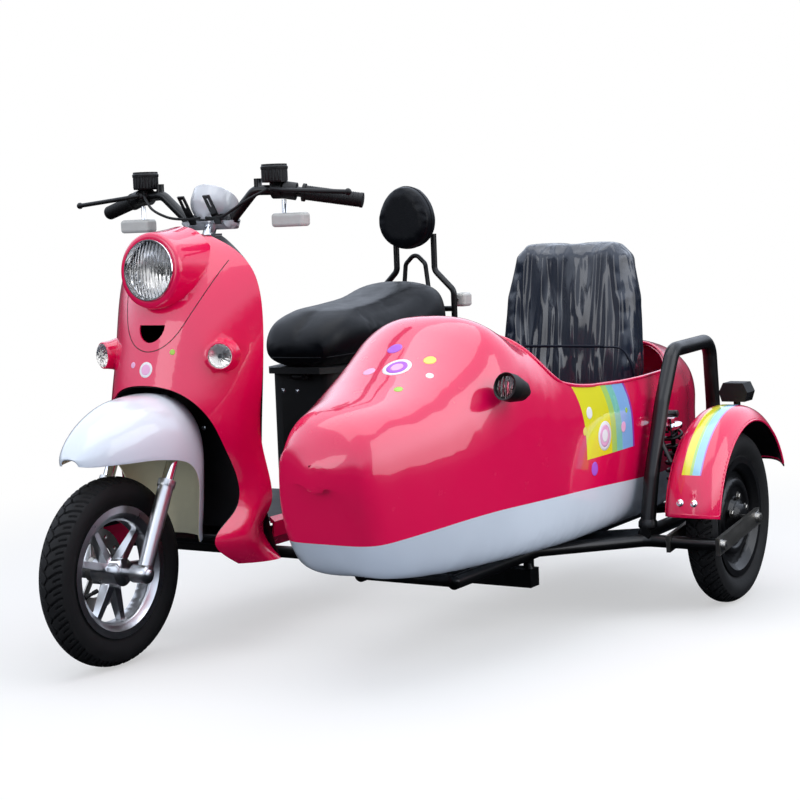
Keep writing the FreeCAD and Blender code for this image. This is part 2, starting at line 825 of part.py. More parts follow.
def fork_uppers():
    """Stanchions, yoke and the stem that turns in the head tube."""
    low_z = (LEG_TOP_Z + TYRE_R) / 2 + LEG_COLLAR_H
    stanchion = rod(V(LEG_X, leg_y(low_z), low_z), V(LEG_X, leg_y(YOKE_Z), YOKE_Z), STANCHION_R)
    up = V(0, sin(RAKE), cos(RAKE))
    end = V(LEG_X, leg_y(YOKE_Z), YOKE_Z)
    cap = rod(end - up * (YOKE_T / 2), end + up * (YOKE_T / 2), YOKE_END_R)
    centre = V(0, axis_y(YOKE_Z), YOKE_Z)
    bridge = box(-LEG_X, LEG_X, -YOKE_END_R, YOKE_END_R, -YOKE_T / 2, YOKE_T / 2)
    bridge.rotate(ORIGIN, AXIS_X, -RAKE)
    bridge.translate(V(0, (leg_y(YOKE_Z) + axis_y(YOKE_Z)) / 2, YOKE_Z))
    stem = rod(centre, V(0, axis_y(STEM_TOP_Z), STEM_TOP_Z), STEM_R)
    cone_low = V(0, axis_y(HEAD_TUBE_LOW_Z), HEAD_TUBE_LOW_Z) - up * (HEAD_CUP_H + GAP)
    cone = rod(cone_low, cone_low + up * HEAD_CUP_H, HEAD_TUBE_R)
    return fuse([stanchion, mirrored(stanchion), cap, mirrored(cap), bridge, stem, cone])


def fender_section(crown_y, crown_z, skirt_y, skirt_z, half):
    """C section of the fender: crown in the middle, skirts at the sides."""
    skirt = V(0, skirt_y, skirt_z)
    rise = V(0, crown_y, crown_z) - skirt
    thin = rise * (1 - FENDER_WALL / rise.Length)
    outer = []
    inner = []
    for share in (-1.0, -0.985, -0.9, -0.7, -0.38, 0.0, 0.38, 0.7, 0.9, 0.985, 1.0):
        height = (1 - abs(share) ** FENDER_SECTION_POWER) ** (1 / FENDER_SECTION_POWER)
        outer.append(skirt + rise * height + AXIS_X * (share * half))
        inner.append(skirt + thin * height + AXIS_X * (share * (half - FENDER_WALL)))
    return strip_wire(outer, inner)


def front_fender():
    """Boat-shaped fender over the front tyre, with the stem's opening."""
    shell = Part.makeLoft([fender_section(*section) for section in FENDER_SECTIONS], True, False)
    low = V(0, axis_y(YOKE_Z), YOKE_Z)
    high = V(0, axis_y(HEAD_TUBE_LOW_Z), HEAD_TUBE_LOW_Z)
    shell = shell.cut(rod(low, high, HEAD_TUBE_R + CUT))
    brackets = []
    for side in (-1, 1):
        z = YOKE_Z - YOKE_T
        inner = V(side * (LEG_X + STANCHION_R + GAP), leg_y(z), z)
        outer = V(side * FENDER_BRACKET_HALF_W, leg_y(z), z)
        brackets.append(rod(inner, outer, STANCHION_R * 0.6))
    return fuse([shell] + brackets)


# Body panels of the scooter

def bow_y(share, front, seam, mix):
    """Plan of the leg shield: a plain power bow, or a boxed one like a squashed ellipse."""
    plain = share ** SHIELD_PLAN_POWER
    boxed = 1 - (1 - share ** 2.2) ** (1 / 2.2)
    return front + (seam - front) * (mix * plain + (1 - mix) * boxed)


def bow_points(half, front, seam, z, mix):
    """Points across the shield from one seam to the other at a height."""
    shares = [-s for s in reversed(SHIELD_BOW_SHARES[1:])] + list(SHIELD_BOW_SHARES)
    return [V(s * half, bow_y(abs(s), front, seam, mix), z) for s in shares]


def shield_loft(inset, solid):
    """The shield's shell, or the whole space in front of its seam where solid is true."""
    wires = []
    for z, half, front, mix in SHIELD_LEVELS:
        outer = bow_points(half - inset, front + inset, SHIELD_SEAM_Y, z, mix)
        if solid:
            wires.append(Part.Wire([smooth_edge(outer), Part.makeLine(outer[-1], outer[0])]))
        else:
            inner = bow_points(half - SHIELD_WALL, front + SHIELD_WALL, SHIELD_SEAM_Y, z, mix)
            wires.append(strip_wire(outer, inner))
    return Part.makeLoft(wires, True, False)


def arch_face(inset, y):
    """Face of the wheel arch's outline, narrowed by an inset."""
    right = [V(x - inset, y, z) for x, z in ARCH_OUTLINE]
    left = [V(-p.x, y, p.z) for p in reversed(right)]
    curve = smooth_edge(right + [V(0, y, ARCH_TOP_Z - inset)] + left)
    base = Part.makeLine(left[-1], right[0])
    return Part.Face(Part.Wire([curve, base]))


def arch_block(inset, front, back):
    return arch_face(inset, front).extrude(V(0, back - front, 0))


def headlamp_frame():
    """Centre of the headlamp's rim and the direction it looks."""
    return V(0, HEADLAMP_Y, HEADLAMP_Z), V(0, -cos(HEADLAMP_TILT), sin(HEADLAMP_TILT))


def leg_shield():
    """Front shell with the wheel arch cut away, the lamp's pod and the small vent."""
    shell = shield_loft(0, False)
    shell = shell.cut(arch_block(0, -CUT, SHIELD_SEAM_Y - SHIELD_WALL))
    centre, look = headlamp_frame()
    lip = POD_LIP_AHEAD
    wall = SHIELD_WALL
    pod_outline = [(lip - wall, POD_LIP_R), (lip, POD_LIP_R), (lip, POD_R - wall * 2), (lip - wall, POD_R - wall * 0.6),
                   (0, POD_R), (-POD_DEPTH * 0.35, POD_R + wall),
                   (-POD_DEPTH, POD_ROOT_R), (-POD_DEPTH, POD_ROOT_R - wall),
                   (-POD_DEPTH * 0.35, POD_R), (0, POD_R - wall), (lip - wall, POD_R - wall * 2)]
    side = AXIS_X
    pod = spun(pod_outline, centre, look, side)
    plug = spun([(CUT, 0), (CUT, POD_R - SHIELD_WALL), (-POD_DEPTH * 0.6, POD_R - SHIELD_WALL),
                 (-POD_DEPTH * 0.6, 0)], centre, look, side)
    pod = pod.cut(box(-POD_R * 2, POD_R * 2, SHIELD_SEAM_Y - SHIELD_WALL, SHIELD_SEAM_Y * 2, 0,
                      HEADLAMP_Z * 2))
    behind = pod.common(shield_loft(SHIELD_WALL * 0.5, True))
    pod = pod.cut(behind)
    shield = shell.cut(plug).fuse(pod).removeSplitter()
    vent = rod(V(0, 0, VENT_Z), V(0, SHIELD_SEAM_Y - CUT, VENT_Z), VENT_R)
    vent = vent.cut(box(-VENT_R * 2, VENT_R * 2, -CUT, SHIELD_SEAM_Y, VENT_TOP_Z, HEADLAMP_Z))
    shield = shield.cut(vent)
    shield = fuse([shield] + indicator_bodies(INDICATOR_R + SHIELD_WALL * 1.5, GAP * 4))
    for lamp in indicator_bodies(INDICATOR_R + GAP, CUT):
        shield = shield.cut(lamp)
    return shield


def indicator_bodies(radius, ahead):
    """Round bodies about the two indicator lamps, turned outwards, some way ahead of their rims."""
    look = V(sin(INDICATOR_TURN), -cos(INDICATOR_TURN), 0)
    face = V(INDICATOR_X, INDICATOR_Y, INDICATOR_Z) + look * (INDICATOR_DEPTH * 0.3)
    body = rod(face + look * (ahead - CUT * 0.4), face - look * (INDICATOR_DEPTH + ahead), radius)
    return [body, mirrored(body)]


def shield_lamps():
    """Two indicators, each a collar with a domed lens."""
    look = V(sin(INDICATOR_TURN), -cos(INDICATOR_TURN), 0)
    face = V(INDICATOR_X, INDICATOR_Y, INDICATOR_Z) + look * (INDICATOR_DEPTH * 0.3)
    side = AXIS_Z
    outline = [(INDICATOR_R * 0.45, 0), (INDICATOR_R * 0.38, INDICATOR_R * 0.45),
               (INDICATOR_R * 0.18, INDICATOR_R * 0.85), (0, INDICATOR_R),
               (-INDICATOR_DEPTH * 0.8, INDICATOR_R), (-INDICATOR_DEPTH * 0.8, 0)]
    lamp = spun(outline, face, look, side)
    return both_sides(lamp)


def headlight():
    """Chrome rim with its bowl, and the clear lens that closes it."""
    centre, look = headlamp_frame()
    wall = LENS_T
    bowl = [(BEZEL_T * 0.7, BEZEL_R), (BEZEL_T, BEZEL_R - wall * 0.4), (BEZEL_T, LENS_R + wall * 0.5),
            (GAP, LENS_R + GAP), (-wall, LENS_R + GAP), (-wall, LENS_R - wall),
            (-BOWL_DEPTH * 0.6, LENS_R * 0.7), (-BOWL_DEPTH, LENS_R * 0.2), (-BOWL_DEPTH, 0),
            (-BOWL_DEPTH - wall, 0), (-BOWL_DEPTH - wall, LENS_R * 0.2 + wall),
            (-BOWL_DEPTH * 0.6, LENS_R * 0.7 + wall), (-wall * 2, LENS_R + wall),
            (-wall * 2, BEZEL_R - GAP), (0, BEZEL_R)]
    reflector = spun(bowl, centre, look, AXIS_X)
    lens = [(-wall + GAP, LENS_R - wall * 0.5), (-wall + GAP, LENS_R), (0, LENS_R),
            (LENS_BULGE * 0.7, LENS_R * 0.62), (LENS_BULGE, 0), (LENS_BULGE - wall * 0.6, 0),
            (LENS_BULGE * 0.7 - wall * 0.6, LENS_R * 0.6)]
    return reflector, spun(lens, centre, look, AXIS_X)


def knee_wall(inset):
    """Space between the seam and the knee panel's rear face."""
    wires = []
    for z, rear in KNEE_LEVELS:
        half, front, mix = shield_level(z)
        half = half - inset
        depth = rear - inset - SHIELD_SEAM_Y
        shares = (-1.0, -0.93, -0.7, -0.35, 0.0, 0.35, 0.7, 0.93, 1.0)
        back = [V(s * half, SHIELD_SEAM_Y + depth * (1 - abs(s) ** 2.2), z) for s in shares]
        wires.append(Part.Wire([smooth_edge(back), Part.makeLine(back[-1], back[0])]))
    return Part.makeLoft(wires, True, False)


def top_cover():
    """Silver cover on the shield's top, with the stem's opening."""
    z, half, front, mix = SHIELD_LEVELS[-1]
    rear = KNEE_LEVELS[-1][1]
    ahead = bow_points(half, front, SHIELD_SEAM_Y, z + GAP, mix)
    shares = (1.0, 0.93, 0.7, 0.35, 0.0, -0.35, -0.7, -0.93, -1.0)
    depth = rear - SHIELD_SEAM_Y
    behind = [V(s * half, SHIELD_SEAM_Y + depth * (1 - abs(s) ** 2.2), z + GAP) for s in shares]
    face = Part.Face(Part.Wire([smooth_edge(ahead), smooth_edge(behind)]))
    cover = face.extrude(AXIS_Z * TOP_COVER_T)
    return cover.cut(rod(V(0, axis_y(z - CUT), z - CUT), V(0, axis_y(z + CUT * 2), z + CUT * 2),
                         STEM_R + CUT * 0.6))


def shield_level(z):
    """Half width, front and mix of the shield at a height, between its levels."""
    levels = SHIELD_LEVELS
    for low, high in zip(levels, levels[1:]):
        if low[0] <= z <= high[0]:
            share = (z - low[0]) / (high[0] - low[0])
            return tuple(a + (b - a) * share for a, b in zip(low[1:], high[1:]))
    return levels[-1][1:]


def shield_liner():
    """Black liner of the wheel arch, and the knee panel on the rider's side."""
    outer = arch_block(GAP, 0, ARCH_BACK_Y + LINER_WALL)
    well = arch_block(GAP + LINER_WALL, -CUT, ARCH_BACK_Y)
    space = shield_loft(SHIELD_WALL, True)
    floor_cut = box(-SHIELD_SEAM_Y, SHIELD_SEAM_Y, 0, SHIELD_SEAM_Y, 0, FLOOR_Z - FLOOR_T)
    liner = outer.cut(well).common(space)
    liner = liner.cut(floor_cut)
    stem = rod(V(0, axis_y(YOKE_Z), YOKE_Z), V(0, axis_y(HEAD_TUBE_HIGH_Z), HEAD_TUBE_HIGH_Z), STEM_SLOT_R)
    liner = liner.cut(stem)
    knee = knee_wall(0).cut(knee_wall(SHIELD_WALL))
    knee = knee.cut(box(-SHIELD_SEAM_Y, SHIELD_SEAM_Y, 0, SHIELD_SEAM_Y + GAP, 0, HEADLAMP_Z * 2))
    for side in (-1, 1):
        rail = rod(V(side * RAIL_X, SHIELD_SEAM_Y - CUT, RAIL_Z), V(side * RAIL_X, FLOOR_REAR_Y, RAIL_Z),
                   FRAME_TUBE_R + GAP)
        knee = knee.cut(rail)
    return [liner, knee]


# Floor and frame of the scooter

def floorboard():
    """Flat floor with a raised edge."""
    plate = box(-FLOOR_HALF_W, FLOOR_HALF_W, FLOOR_FRONT_Y, FLOOR_REAR_Y, FLOOR_Z - FLOOR_T, FLOOR_Z)
    edges = [e for e in plate.Edges
             if abs(e.Vertexes[0].X - e.Vertexes[1].X) < GAP and abs(e.Vertexes[0].Y - e.Vertexes[1].Y) < GAP]
    plate = plate.makeFillet(FLOOR_T * 2, edges)
    return plate.cut(knee_wall(0))


def floor_skirts():
    """Painted skirts along both edges of the floor."""
    outline = [(FLOOR_HALF_W, FLOOR_Z), (FLOOR_HALF_W + SKIRT_WALL * 3, FLOOR_Z - FLOOR_T),
               (FLOOR_HALF_W + SKIRT_WALL * 2, FLOOR_Z - SKIRT_DROP * 0.6),
               (FLOOR_HALF_W - SKIRT_DROP * 0.4, FLOOR_Z - SKIRT_DROP),
               (FLOOR_HALF_W - SKIRT_DROP * 0.4, FLOOR_Z - SKIRT_DROP + SKIRT_WALL),
               (FLOOR_HALF_W + SKIRT_WALL, FLOOR_Z - SKIRT_DROP * 0.6 + SKIRT_WALL),
               (FLOOR_HALF_W + SKIRT_WALL * 2, FLOOR_Z - FLOOR_T - SKIRT_WALL),
               (FLOOR_HALF_W, FLOOR_Z - FLOOR_T - SKIRT_WALL)]
    points = [V(x + GAP, FLOOR_FRONT_Y + SKIRT_DROP * 0.3, z) for x, z in outline]
    skirt = polygon_face(points).extrude(V(0, FLOOR_REAR_Y - FLOOR_FRONT_Y, 0))
    skirt = skirt.cut(knee_wall(-GAP))
    for y in (STRUT_FRONT_Y, STRUT_MID_Y):
        skirt = skirt.cut(rod(V(0, y, STRUT_Z), V(STRUT_BEND_X, y, STRUT_Z), STRUT_R + GAP * 5))
    return both_sides(skirt)


def head_tube():
    """Tube round the stem with a bearing cup at each end."""
    up = V(0, sin(RAKE), cos(RAKE))
    low = V(0, axis_y(HEAD_TUBE_LOW_Z), HEAD_TUBE_LOW_Z)
    high = V(0, axis_y(HEAD_TUBE_HIGH_Z), HEAD_TUBE_HIGH_Z)
    solid = [rod(low, high, HEAD_TUBE_R), rod(low, low + up * HEAD_CUP_H, HEAD_CUP_R),
             rod(high - up * HEAD_CUP_H, high, HEAD_CUP_R)]
    return solid, rod(low - up * CUT, high + up * CUT, STEM_R + HEAD_CLEARANCE)


def scooter_frame():
    """Head tube, down tube, floor rails that rise under the seat, cross tubes and sidecar lugs."""
    tubes, bore = head_tube()
    down_top = V(0, axis_y(HEAD_TUBE_LOW_Z + HEAD_CUP_H * 4), HEAD_TUBE_LOW_Z + HEAD_CUP_H * 4)
    tubes.append(bent_tube([down_top, V(0, DOWNTUBE_Y, HEAD_TUBE_LOW_Z - HEAD_TUBE_R),
                            V(0, DOWNTUBE_Y, RAIL_Z)], DOWNTUBE_R, TUBE_BEND_R * 0.6))
    for side in (-1, 1):
        x = side * RAIL_X
        tubes.append(bent_tube([V(x, DOWNTUBE_Y, RAIL_Z), V(x, RAIL_RISE_Y, RAIL_Z),
                                V(x, RAIL_TOP_Y, RAIL_REAR_Z), V(x, RAIL_END_Y, RAIL_REAR_Z)],
                               FRAME_TUBE_R, TUBE_BEND_R))
    for y, z in ((DOWNTUBE_Y, RAIL_Z), (POST_Y, RAIL_Z), (REAR_AXLE_Y, RAIL_REAR_Z), (RAIL_END_Y, RAIL_REAR_Z)):
        tubes.append(rod(V(-RAIL_X, y, z), V(RAIL_X, y, z), FRAME_TUBE_R * 0.9))
    for side in (-1, 1):
        x = side * (RAIL_X - FRAME_TUBE_R - GUSSET_T)
        plate = polygon_face([V(x, RAIL_RISE_Y - FRAME_TUBE_R, RAIL_Z),
                              V(x, PIVOT_Y + FRAME_TUBE_R, PIVOT_Z - FRAME_TUBE_R * 2),
                              V(x, PIVOT_Y + FRAME_TUBE_R * 2, PIVOT_Z + FRAME_TUBE_R * 1.4),
                              V(x, RAIL_RISE_Y + FRAME_TUBE_R * 3, RAIL_Z + FRAME_TUBE_R * 5)])
        tubes.append(plate.extrude(V(side * GUSSET_T * 2, 0, 0)))
        post_x = side * BUCKET_HALF_W * 0.6
        tubes.append(rod(V(post_x, POST_Y, RAIL_Z), V(post_x, POST_Y, BUCKET_LOW_Z - GAP), POST_R))
        for y in FLOOR_PAD_PLACES_Y:
            tubes.append(rod(V(side * RAIL_X, y, RAIL_Z), V(side * RAIL_X, y, FLOOR_Z - FLOOR_T - GAP), POST_R))
        reach = side * (BUCKET_HALF_W + GAP)
        tubes.append(rod(V(reach, LUG_Y, LUG_Z), V(side * RAIL_X, LUG_Y, LUG_Z), POST_R))
    return fuse(tubes).cut(bore)


def bucket_plan(inset, z):
    """Rounded plan of the bucket."""
    half = BUCKET_HALF_W - inset
    front = BUCKET_FRONT_Y + inset
    rear = BUCKET_REAR_Y - inset
    r = BUCKET_CORNER_R - inset
    corner = r * (1 - 1 / math.sqrt(2))
    edges = [
        Part.Arc(V(-half, front + r, z), V(-half + corner, front + corner, z), V(-half + r, front, z)).toShape(),
        Part.makeLine(V(-half + r, front, z), V(half - r, front, z)),
        Part.Arc(V(half - r, front, z), V(half - corner, front + corner, z), V(half, front + r, z)).toShape(),
        Part.makeLine(V(half, front + r, z), V(half, rear, z)),
        Part.makeLine(V(half, rear, z), V(-half, rear, z)),
        Part.makeLine(V(-half, rear, z), V(-half, front + r, z)),
    ]
    return Part.Face(Part.Wire(edges))


def underseat_bucket():
    """Open-topped box under the seat, with clearance for the frame's rails."""
    outside = bucket_plan(0, BUCKET_LOW_Z).extrude(V(0, 0, BUCKET_TOP_Z - BUCKET_LOW_Z))
    inside = bucket_plan(BUCKET_WALL, BUCKET_LOW_Z + BUCKET_WALL)
    inside = inside.extrude(V(0, 0, BUCKET_TOP_Z - BUCKET_LOW_Z))
    bracket = box(-HINGE_BRACKET_HALF_W, HINGE_BRACKET_HALF_W, SEAT_HINGE_Y,
                  BUCKET_FRONT_Y + BUCKET_WALL / 2, SEAT_HINGE_Z - HINGE_PIN_R * 1.4, SEAT_HINGE_Z + HINGE_PIN_R * 1.4)
    eye = rod(V(-HINGE_BRACKET_HALF_W, SEAT_HINGE_Y, SEAT_HINGE_Z),
              V(HINGE_BRACKET_HALF_W, SEAT_HINGE_Y, SEAT_HINGE_Z), HINGE_PIN_R * 1.6)
    bore = rod(V(-BUCKET_HALF_W, SEAT_HINGE_Y, SEAT_HINGE_Z), V(BUCKET_HALF_W, SEAT_HINGE_Y, SEAT_HINGE_Z),
               HINGE_PIN_R + GAP)
    return fuse([outside.cut(inside), bracket, eye]).cut(bore)


def battery_block():
    """Battery as one plain block on the bucket's floor."""
    z = BUCKET_LOW_Z + BUCKET_WALL + GAP
    y = BUCKET_FRONT_Y + BUCKET_CORNER_R
    return box(-BATTERY_WIDTH / 2, BATTERY_WIDTH / 2, y, y + BATTERY_LENGTH, z, z + BATTERY_HEIGHT)


def tail_section(y, half, low, top, inset):
    """Upturned trough section of the tail cowl at a place along the scooter."""
    shares = (-1.0, -0.97, -0.8, -0.45, 0.0, 0.45, 0.8, 0.97, 1.0)
    points = [V(s * (half - inset), y, low + (top - inset - low) * (1 - abs(s) ** 4)) for s in shares]
    return points


def tail_cowl():
    """Painted cowl round the rear of the seat, open below."""
    stations = ((0.0, 1.0), (0.35, 0.97), (0.7, 0.8), (1.0, 0.0))
    wires = []
    for share, width in stations:
        y = TAIL_FRONT_Y + (TAIL_REAR_Y - TAIL_FRONT_Y) * share
        half = TAIL_REAR_HALF_W + (TAIL_HALF_W - TAIL_REAR_HALF_W) * width
        wires.append(strip_wire(tail_section(y, half, TAIL_LOW_Z, TAIL_TOP_Z, 0),
                                tail_section(y, half, TAIL_LOW_Z, TAIL_TOP_Z, TAIL_WALL)))
    cowl = Part.makeLoft(wires, True, False)
    for side in (-1, 1):
        cowl = cowl.cut(rod(V(side * RAIL_X, BACKREST_Y, 0), V(side * RAIL_X, BACKREST_Y, TAIL_TOP_Z + CUT),
                            BACKREST_POST_R + GAP * 4))
    return max(cowl.Solids, key=lambda piece: piece.Volume)


def arc_shell(centre, radius, lip, half, wall, start, end):
    """Fender turned about an axle: C section swept between two angles from the front's level."""
    shares = (-1.0, -0.93, -0.72, -0.4, 0.0, 0.4, 0.72, 0.93, 1.0)
    outer = [V(s * half, 0, lip + (radius - lip) * (1 - abs(s) ** 3.4)) for s in shares]
    inner = [V(s * (half - wall), 0, lip + (radius - wall - lip) * (1 - abs(s) ** 3.4)) for s in shares]
    face = Part.Face(strip_wire(outer, inner))
    face.rotate(ORIGIN, AXIS_X, 90 - start)
    shell = face.revolve(ORIGIN, AXIS_X, start - end)
    shell.translate(centre)
    return shell


def rear_fender():
    """Black mudguard over the rear tyre, with the number plate's bracket and its two holes."""
    centre = V(0, REAR_AXLE_Y, TYRE_R)
    shell = arc_shell(centre, REAR_FENDER_R, REAR_FENDER_R - TYRE_W * 0.35, REAR_FENDER_HALF_W,
                      REAR_FENDER_WALL, 180 - REAR_FENDER_TO, 180 - REAR_FENDER_FROM)
    angle = 12.0
    top = centre + V(0, cos(angle), sin(angle)) * (REAR_FENDER_R - REAR_FENDER_WALL)
    plate = box(-PLATE_W / 2, PLATE_W / 2, 0, PLATE_T, -PLATE_H / 2, PLATE_H / 2)
    for side in (-1, 1):
        hole = rod(V(side * PLATE_HOLE_SPACING / 2, -CUT, 0), V(side * PLATE_HOLE_SPACING / 2, CUT, 0),
                   PLATE_HOLE_R)
        plate = plate.cut(hole)
    plate.translate(top + V(0, REAR_FENDER_WALL * 3, PLATE_H * 0.3))
    neck = box(-PLATE_W / 6, PLATE_W / 6, top.y - REAR_FENDER_WALL / 2, top.y + REAR_FENDER_WALL * 3,
               top.z, top.z + PLATE_H * 0.2)
    hanger = box(-PLATE_W / 6, PLATE_W / 6, REAR_AXLE_Y - REAR_FENDER_WALL, REAR_AXLE_Y + REAR_FENDER_WALL,
                 TYRE_R + REAR_FENDER_R - REAR_FENDER_WALL, RAIL_REAR_Z - FRAME_TUBE_R * 0.9 - GAP)
    return fuse([shell, plate, neck, hanger])


def rear_lamps():
    """Tail lamp on the cowl's end and the small lamp beside the backrest."""
    z = (TAIL_LOW_Z + TAIL_TOP_Z) / 2
    tail = box(-TAIL_REAR_HALF_W * 0.7, TAIL_REAR_HALF_W * 0.7, TAIL_REAR_Y - TAIL_WALL * 8,
               TAIL_REAR_Y + TAIL_WALL * 3, z - TAIL_WALL * 5, z + TAIL_WALL * 3)
    tail = tail.makeFillet(TAIL_WALL * 2, tail.Edges)
    lamp = box(-REAR_LAMP_HALF_W, REAR_LAMP_HALF_W, -REAR_LAMP_HALF_D, REAR_LAMP_HALF_D, -REAR_LAMP_HALF_H,
               REAR_LAMP_HALF_H)
    lamp = lamp.makeFillet(REAR_LAMP_HALF_W / 2, lamp.Edges)
    lamp.translate(V(RAIL_X + REAR_LAMP_OUT, BACKREST_Y + REAR_LAMP_BEHIND, REAR_LAMP_Z))
    return [tail, lamp]


def backrest_frame():
    """Two flared posts with an arch between them, on a plate under the seat's rear."""
    post = bent_tube([V(BACKREST_POST_X, BACKREST_Y, BACKREST_PAD_LOW_Z + CUT * 4),
                      V(BACKREST_POST_X, BACKREST_Y, BACKREST_PAD_LOW_Z - BACKREST_PAD_T),
                      V(RAIL_X, BACKREST_Y, BACKREST_FOOT_Z),
                      V(RAIL_X, BACKREST_Y, RAIL_REAR_Z + FRAME_TUBE_R + GAP)], BACKREST_POST_R, 24.0)
    top = BACKREST_PAD_LOW_Z - CUT
    shoulder = BACKREST_POST_X * ARCH_SHOULDER_SHARE
    foot = BACKREST_POST_X * ARCH_FOOT_SHARE
    arch = bent_tube([V(-foot, BACKREST_Y, RUNG_Z), V(-shoulder, BACKREST_Y, top - ARCH_RISE),
                      V(0, BACKREST_Y, top), V(shoulder, BACKREST_Y, top - ARCH_RISE),
                      V(foot, BACKREST_Y, RUNG_Z)], BACKREST_POST_R * 0.75, ARCH_BEND_R)
    rung = rod(V(-RAIL_X, BACKREST_Y, RUNG_Z), V(RAIL_X, BACKREST_Y, RUNG_Z), BACKREST_POST_R * 0.9)
    lamp_front = REAR_LAMP_BEHIND - REAR_LAMP_HALF_D - GAP
    stub = rod(V(RAIL_X, BACKREST_Y, REAR_LAMP_Z), V(RAIL_X, BACKREST_Y + lamp_front, REAR_LAMP_Z),
               BACKREST_POST_R * 0.6)
    return fuse([post, mirrored(post), arch, rung, stub])


def backrest_pad():
    """Egg-shaped pad in front of the posts."""
    wires = []
    for share, depth in ((0.0, 0.5), (0.25, 0.9), (0.6, 1.0), (0.85, 0.9), (1.0, 0.4)):
        y = BACKREST_Y - BACKREST_PAD_T + BACKREST_PAD_T * share - BACKREST_POST_R
        points = []
        for step in range(12):
            angle = step * 30.0
            r_x = BACKREST_PAD_HALF_W * (0.86 + 0.14 * depth) * (1 - 0.12 * cos(angle))
            half = (BACKREST_PAD_TOP_Z - BACKREST_PAD_LOW_Z) / 2
            points.append(V(r_x * sin(angle), y, BACKREST_PAD_LOW_Z + half
                            + half * (0.86 + 0.14 * depth) * cos(angle)))
        wires.append(smooth_loop(points))
    pad = Part.makeLoft(wires, True, False)
    for side in (-1, 1):
        socket = rod(V(side * BACKREST_POST_X, BACKREST_Y, 0), V(side * BACKREST_POST_X, BACKREST_Y,
                                                                 BACKREST_PAD_TOP_Z), BACKREST_POST_R + GAP)
        pad = pad.cut(socket)
    return pad


def rear_swingarm():
    """Two arms from the frame's pivot to the rear axle, joined behind the pivot."""
    parts = []
    for side in (-1, 1):
        x = side * SWINGARM_X
        start = V(x, PIVOT_Y, PIVOT_Z)
        end = V(x, REAR_AXLE_Y, TYRE_R)
        along = (end - start).normalize()
        up = V(0, -along.z, along.y)
        corners = [start + up * SWINGARM_H / 2, start - up * SWINGARM_H / 2,
                   end - up * SWINGARM_H * 0.4 + along * SWINGARM_H * 0.6,
                   end + up * SWINGARM_H * 0.4 + along * SWINGARM_H * 0.6]
        arm = polygon_face([p - AXIS_X * (SWINGARM_W / 2) for p in corners]).extrude(AXIS_X * SWINGARM_W)
        parts.append(arm)
        lug = rod(V(x, REAR_AXLE_Y - SWINGARM_H, TYRE_R + SWINGARM_H * 0.7),
                  V(side * (RAIL_X + DAMPER_R), REAR_AXLE_Y - SWINGARM_H, TYRE_R + SWINGARM_H * 0.7), DAMPER_R)
        parts.append(lug)
    reach = RAIL_X - FRAME_TUBE_R - GUSSET_T - GAP
    parts.append(rod(V(-reach, PIVOT_Y, PIVOT_Z), V(reach, PIVOT_Y, PIVOT_Z), SWINGARM_H * 0.45))
    axle = rod(V(-SWINGARM_X - SWINGARM_W * 1.4, REAR_AXLE_Y, TYRE_R),
               V(SWINGARM_X + SWINGARM_W * 1.4, REAR_AXLE_Y, TYRE_R), AXLE_R)
    parts.append(axle)
    return fuse(parts)


def spring_leg(low, high):
    """Damper with a spring of stacked rings between two seats."""
    along = (high - low).normalize()
    length = (high - low).Length
    seat = DAMPER_R
    outline = [(0, 0), (0, seat), (seat * 2, seat), (seat * 2, SPRING_R + SPRING_WIRE_R),
               (seat * 2.6, SPRING_R + SPRING_WIRE_R)]
    turns = 8
    first = seat * 2.6
    last = length - seat * 2.6
    pitch = (last - first) / turns
    for turn in range(turns):
        start = first + pitch * turn
        outline += [(start, SPRING_R - SPRING_WIRE_R), (start + pitch * 0.2, SPRING_R - SPRING_WIRE_R),
                    (start + pitch * 0.6, SPRING_R), (start + pitch, SPRING_R - SPRING_WIRE_R)]
    outline += [(last, SPRING_R + SPRING_WIRE_R), (length - seat * 2, SPRING_R + SPRING_WIRE_R),
                (length - seat * 2, seat), (length, seat), (length, 0)]
    tidy = [outline[0]]
    for point in outline[1:]:
        if point != tidy[-1]:
            tidy.append(point)
    return spun(tidy, low, along, AXIS_X)


def shocks():
    """Spring legs at the rear wheel and one at the sidecar's wheel."""
    lug = V(RAIL_X, REAR_AXLE_Y - SWINGARM_H, TYRE_R + SWINGARM_H * 0.7)
    rail = V(RAIL_X, REAR_AXLE_Y - SWINGARM_H * 2.4, RAIL_REAR_Z)
    leg = leg_between(lug, DAMPER_R, rail, FRAME_TUBE_R)
    low = V(SIDE_SPRING_X, SIDE_SPRING_LOW_Y, SIDE_SPRING_LOW_Z)
    high = V(SIDE_SPRING_X, SIDE_SPRING_TOP_Y, SIDE_SPRING_TOP_Z)
    return [leg, mirrored(leg), leg_between(low, DAMPER_R * 0.9, high, DAMPER_R * 0.9)]


def leg_between(low, low_r, high, high_r):
    """Spring leg that starts on one cross bar and ends on another, whose radii are given."""
    along = (high - low).normalize()
    tilt = math.hypot(along.x, along.y) * DAMPER_R
    return spring_leg(low + along * (low_r + GAP + tilt), high - along * (high_r + GAP + tilt))


# Seat

def seat_outline(share, width, crown, low, inset):
    """Closed section of the seat across the scooter."""
    y = SEAT_FRONT_Y + (SEAT_REAR_Y - SEAT_FRONT_Y) * share
    half = SEAT_HALF_W * width - inset
    points = []
    for step in range(14):
        angle = step * 360.0 / 14
        c = cos(angle)
        s = sin(angle)
        mid = (low + crown) / 2
        rise = (crown - low) / 2
        points.append(V(half * math.copysign(abs(s) ** 0.6, s), y, mid + rise * math.copysign(abs(c) ** 0.6, c)))
    return points


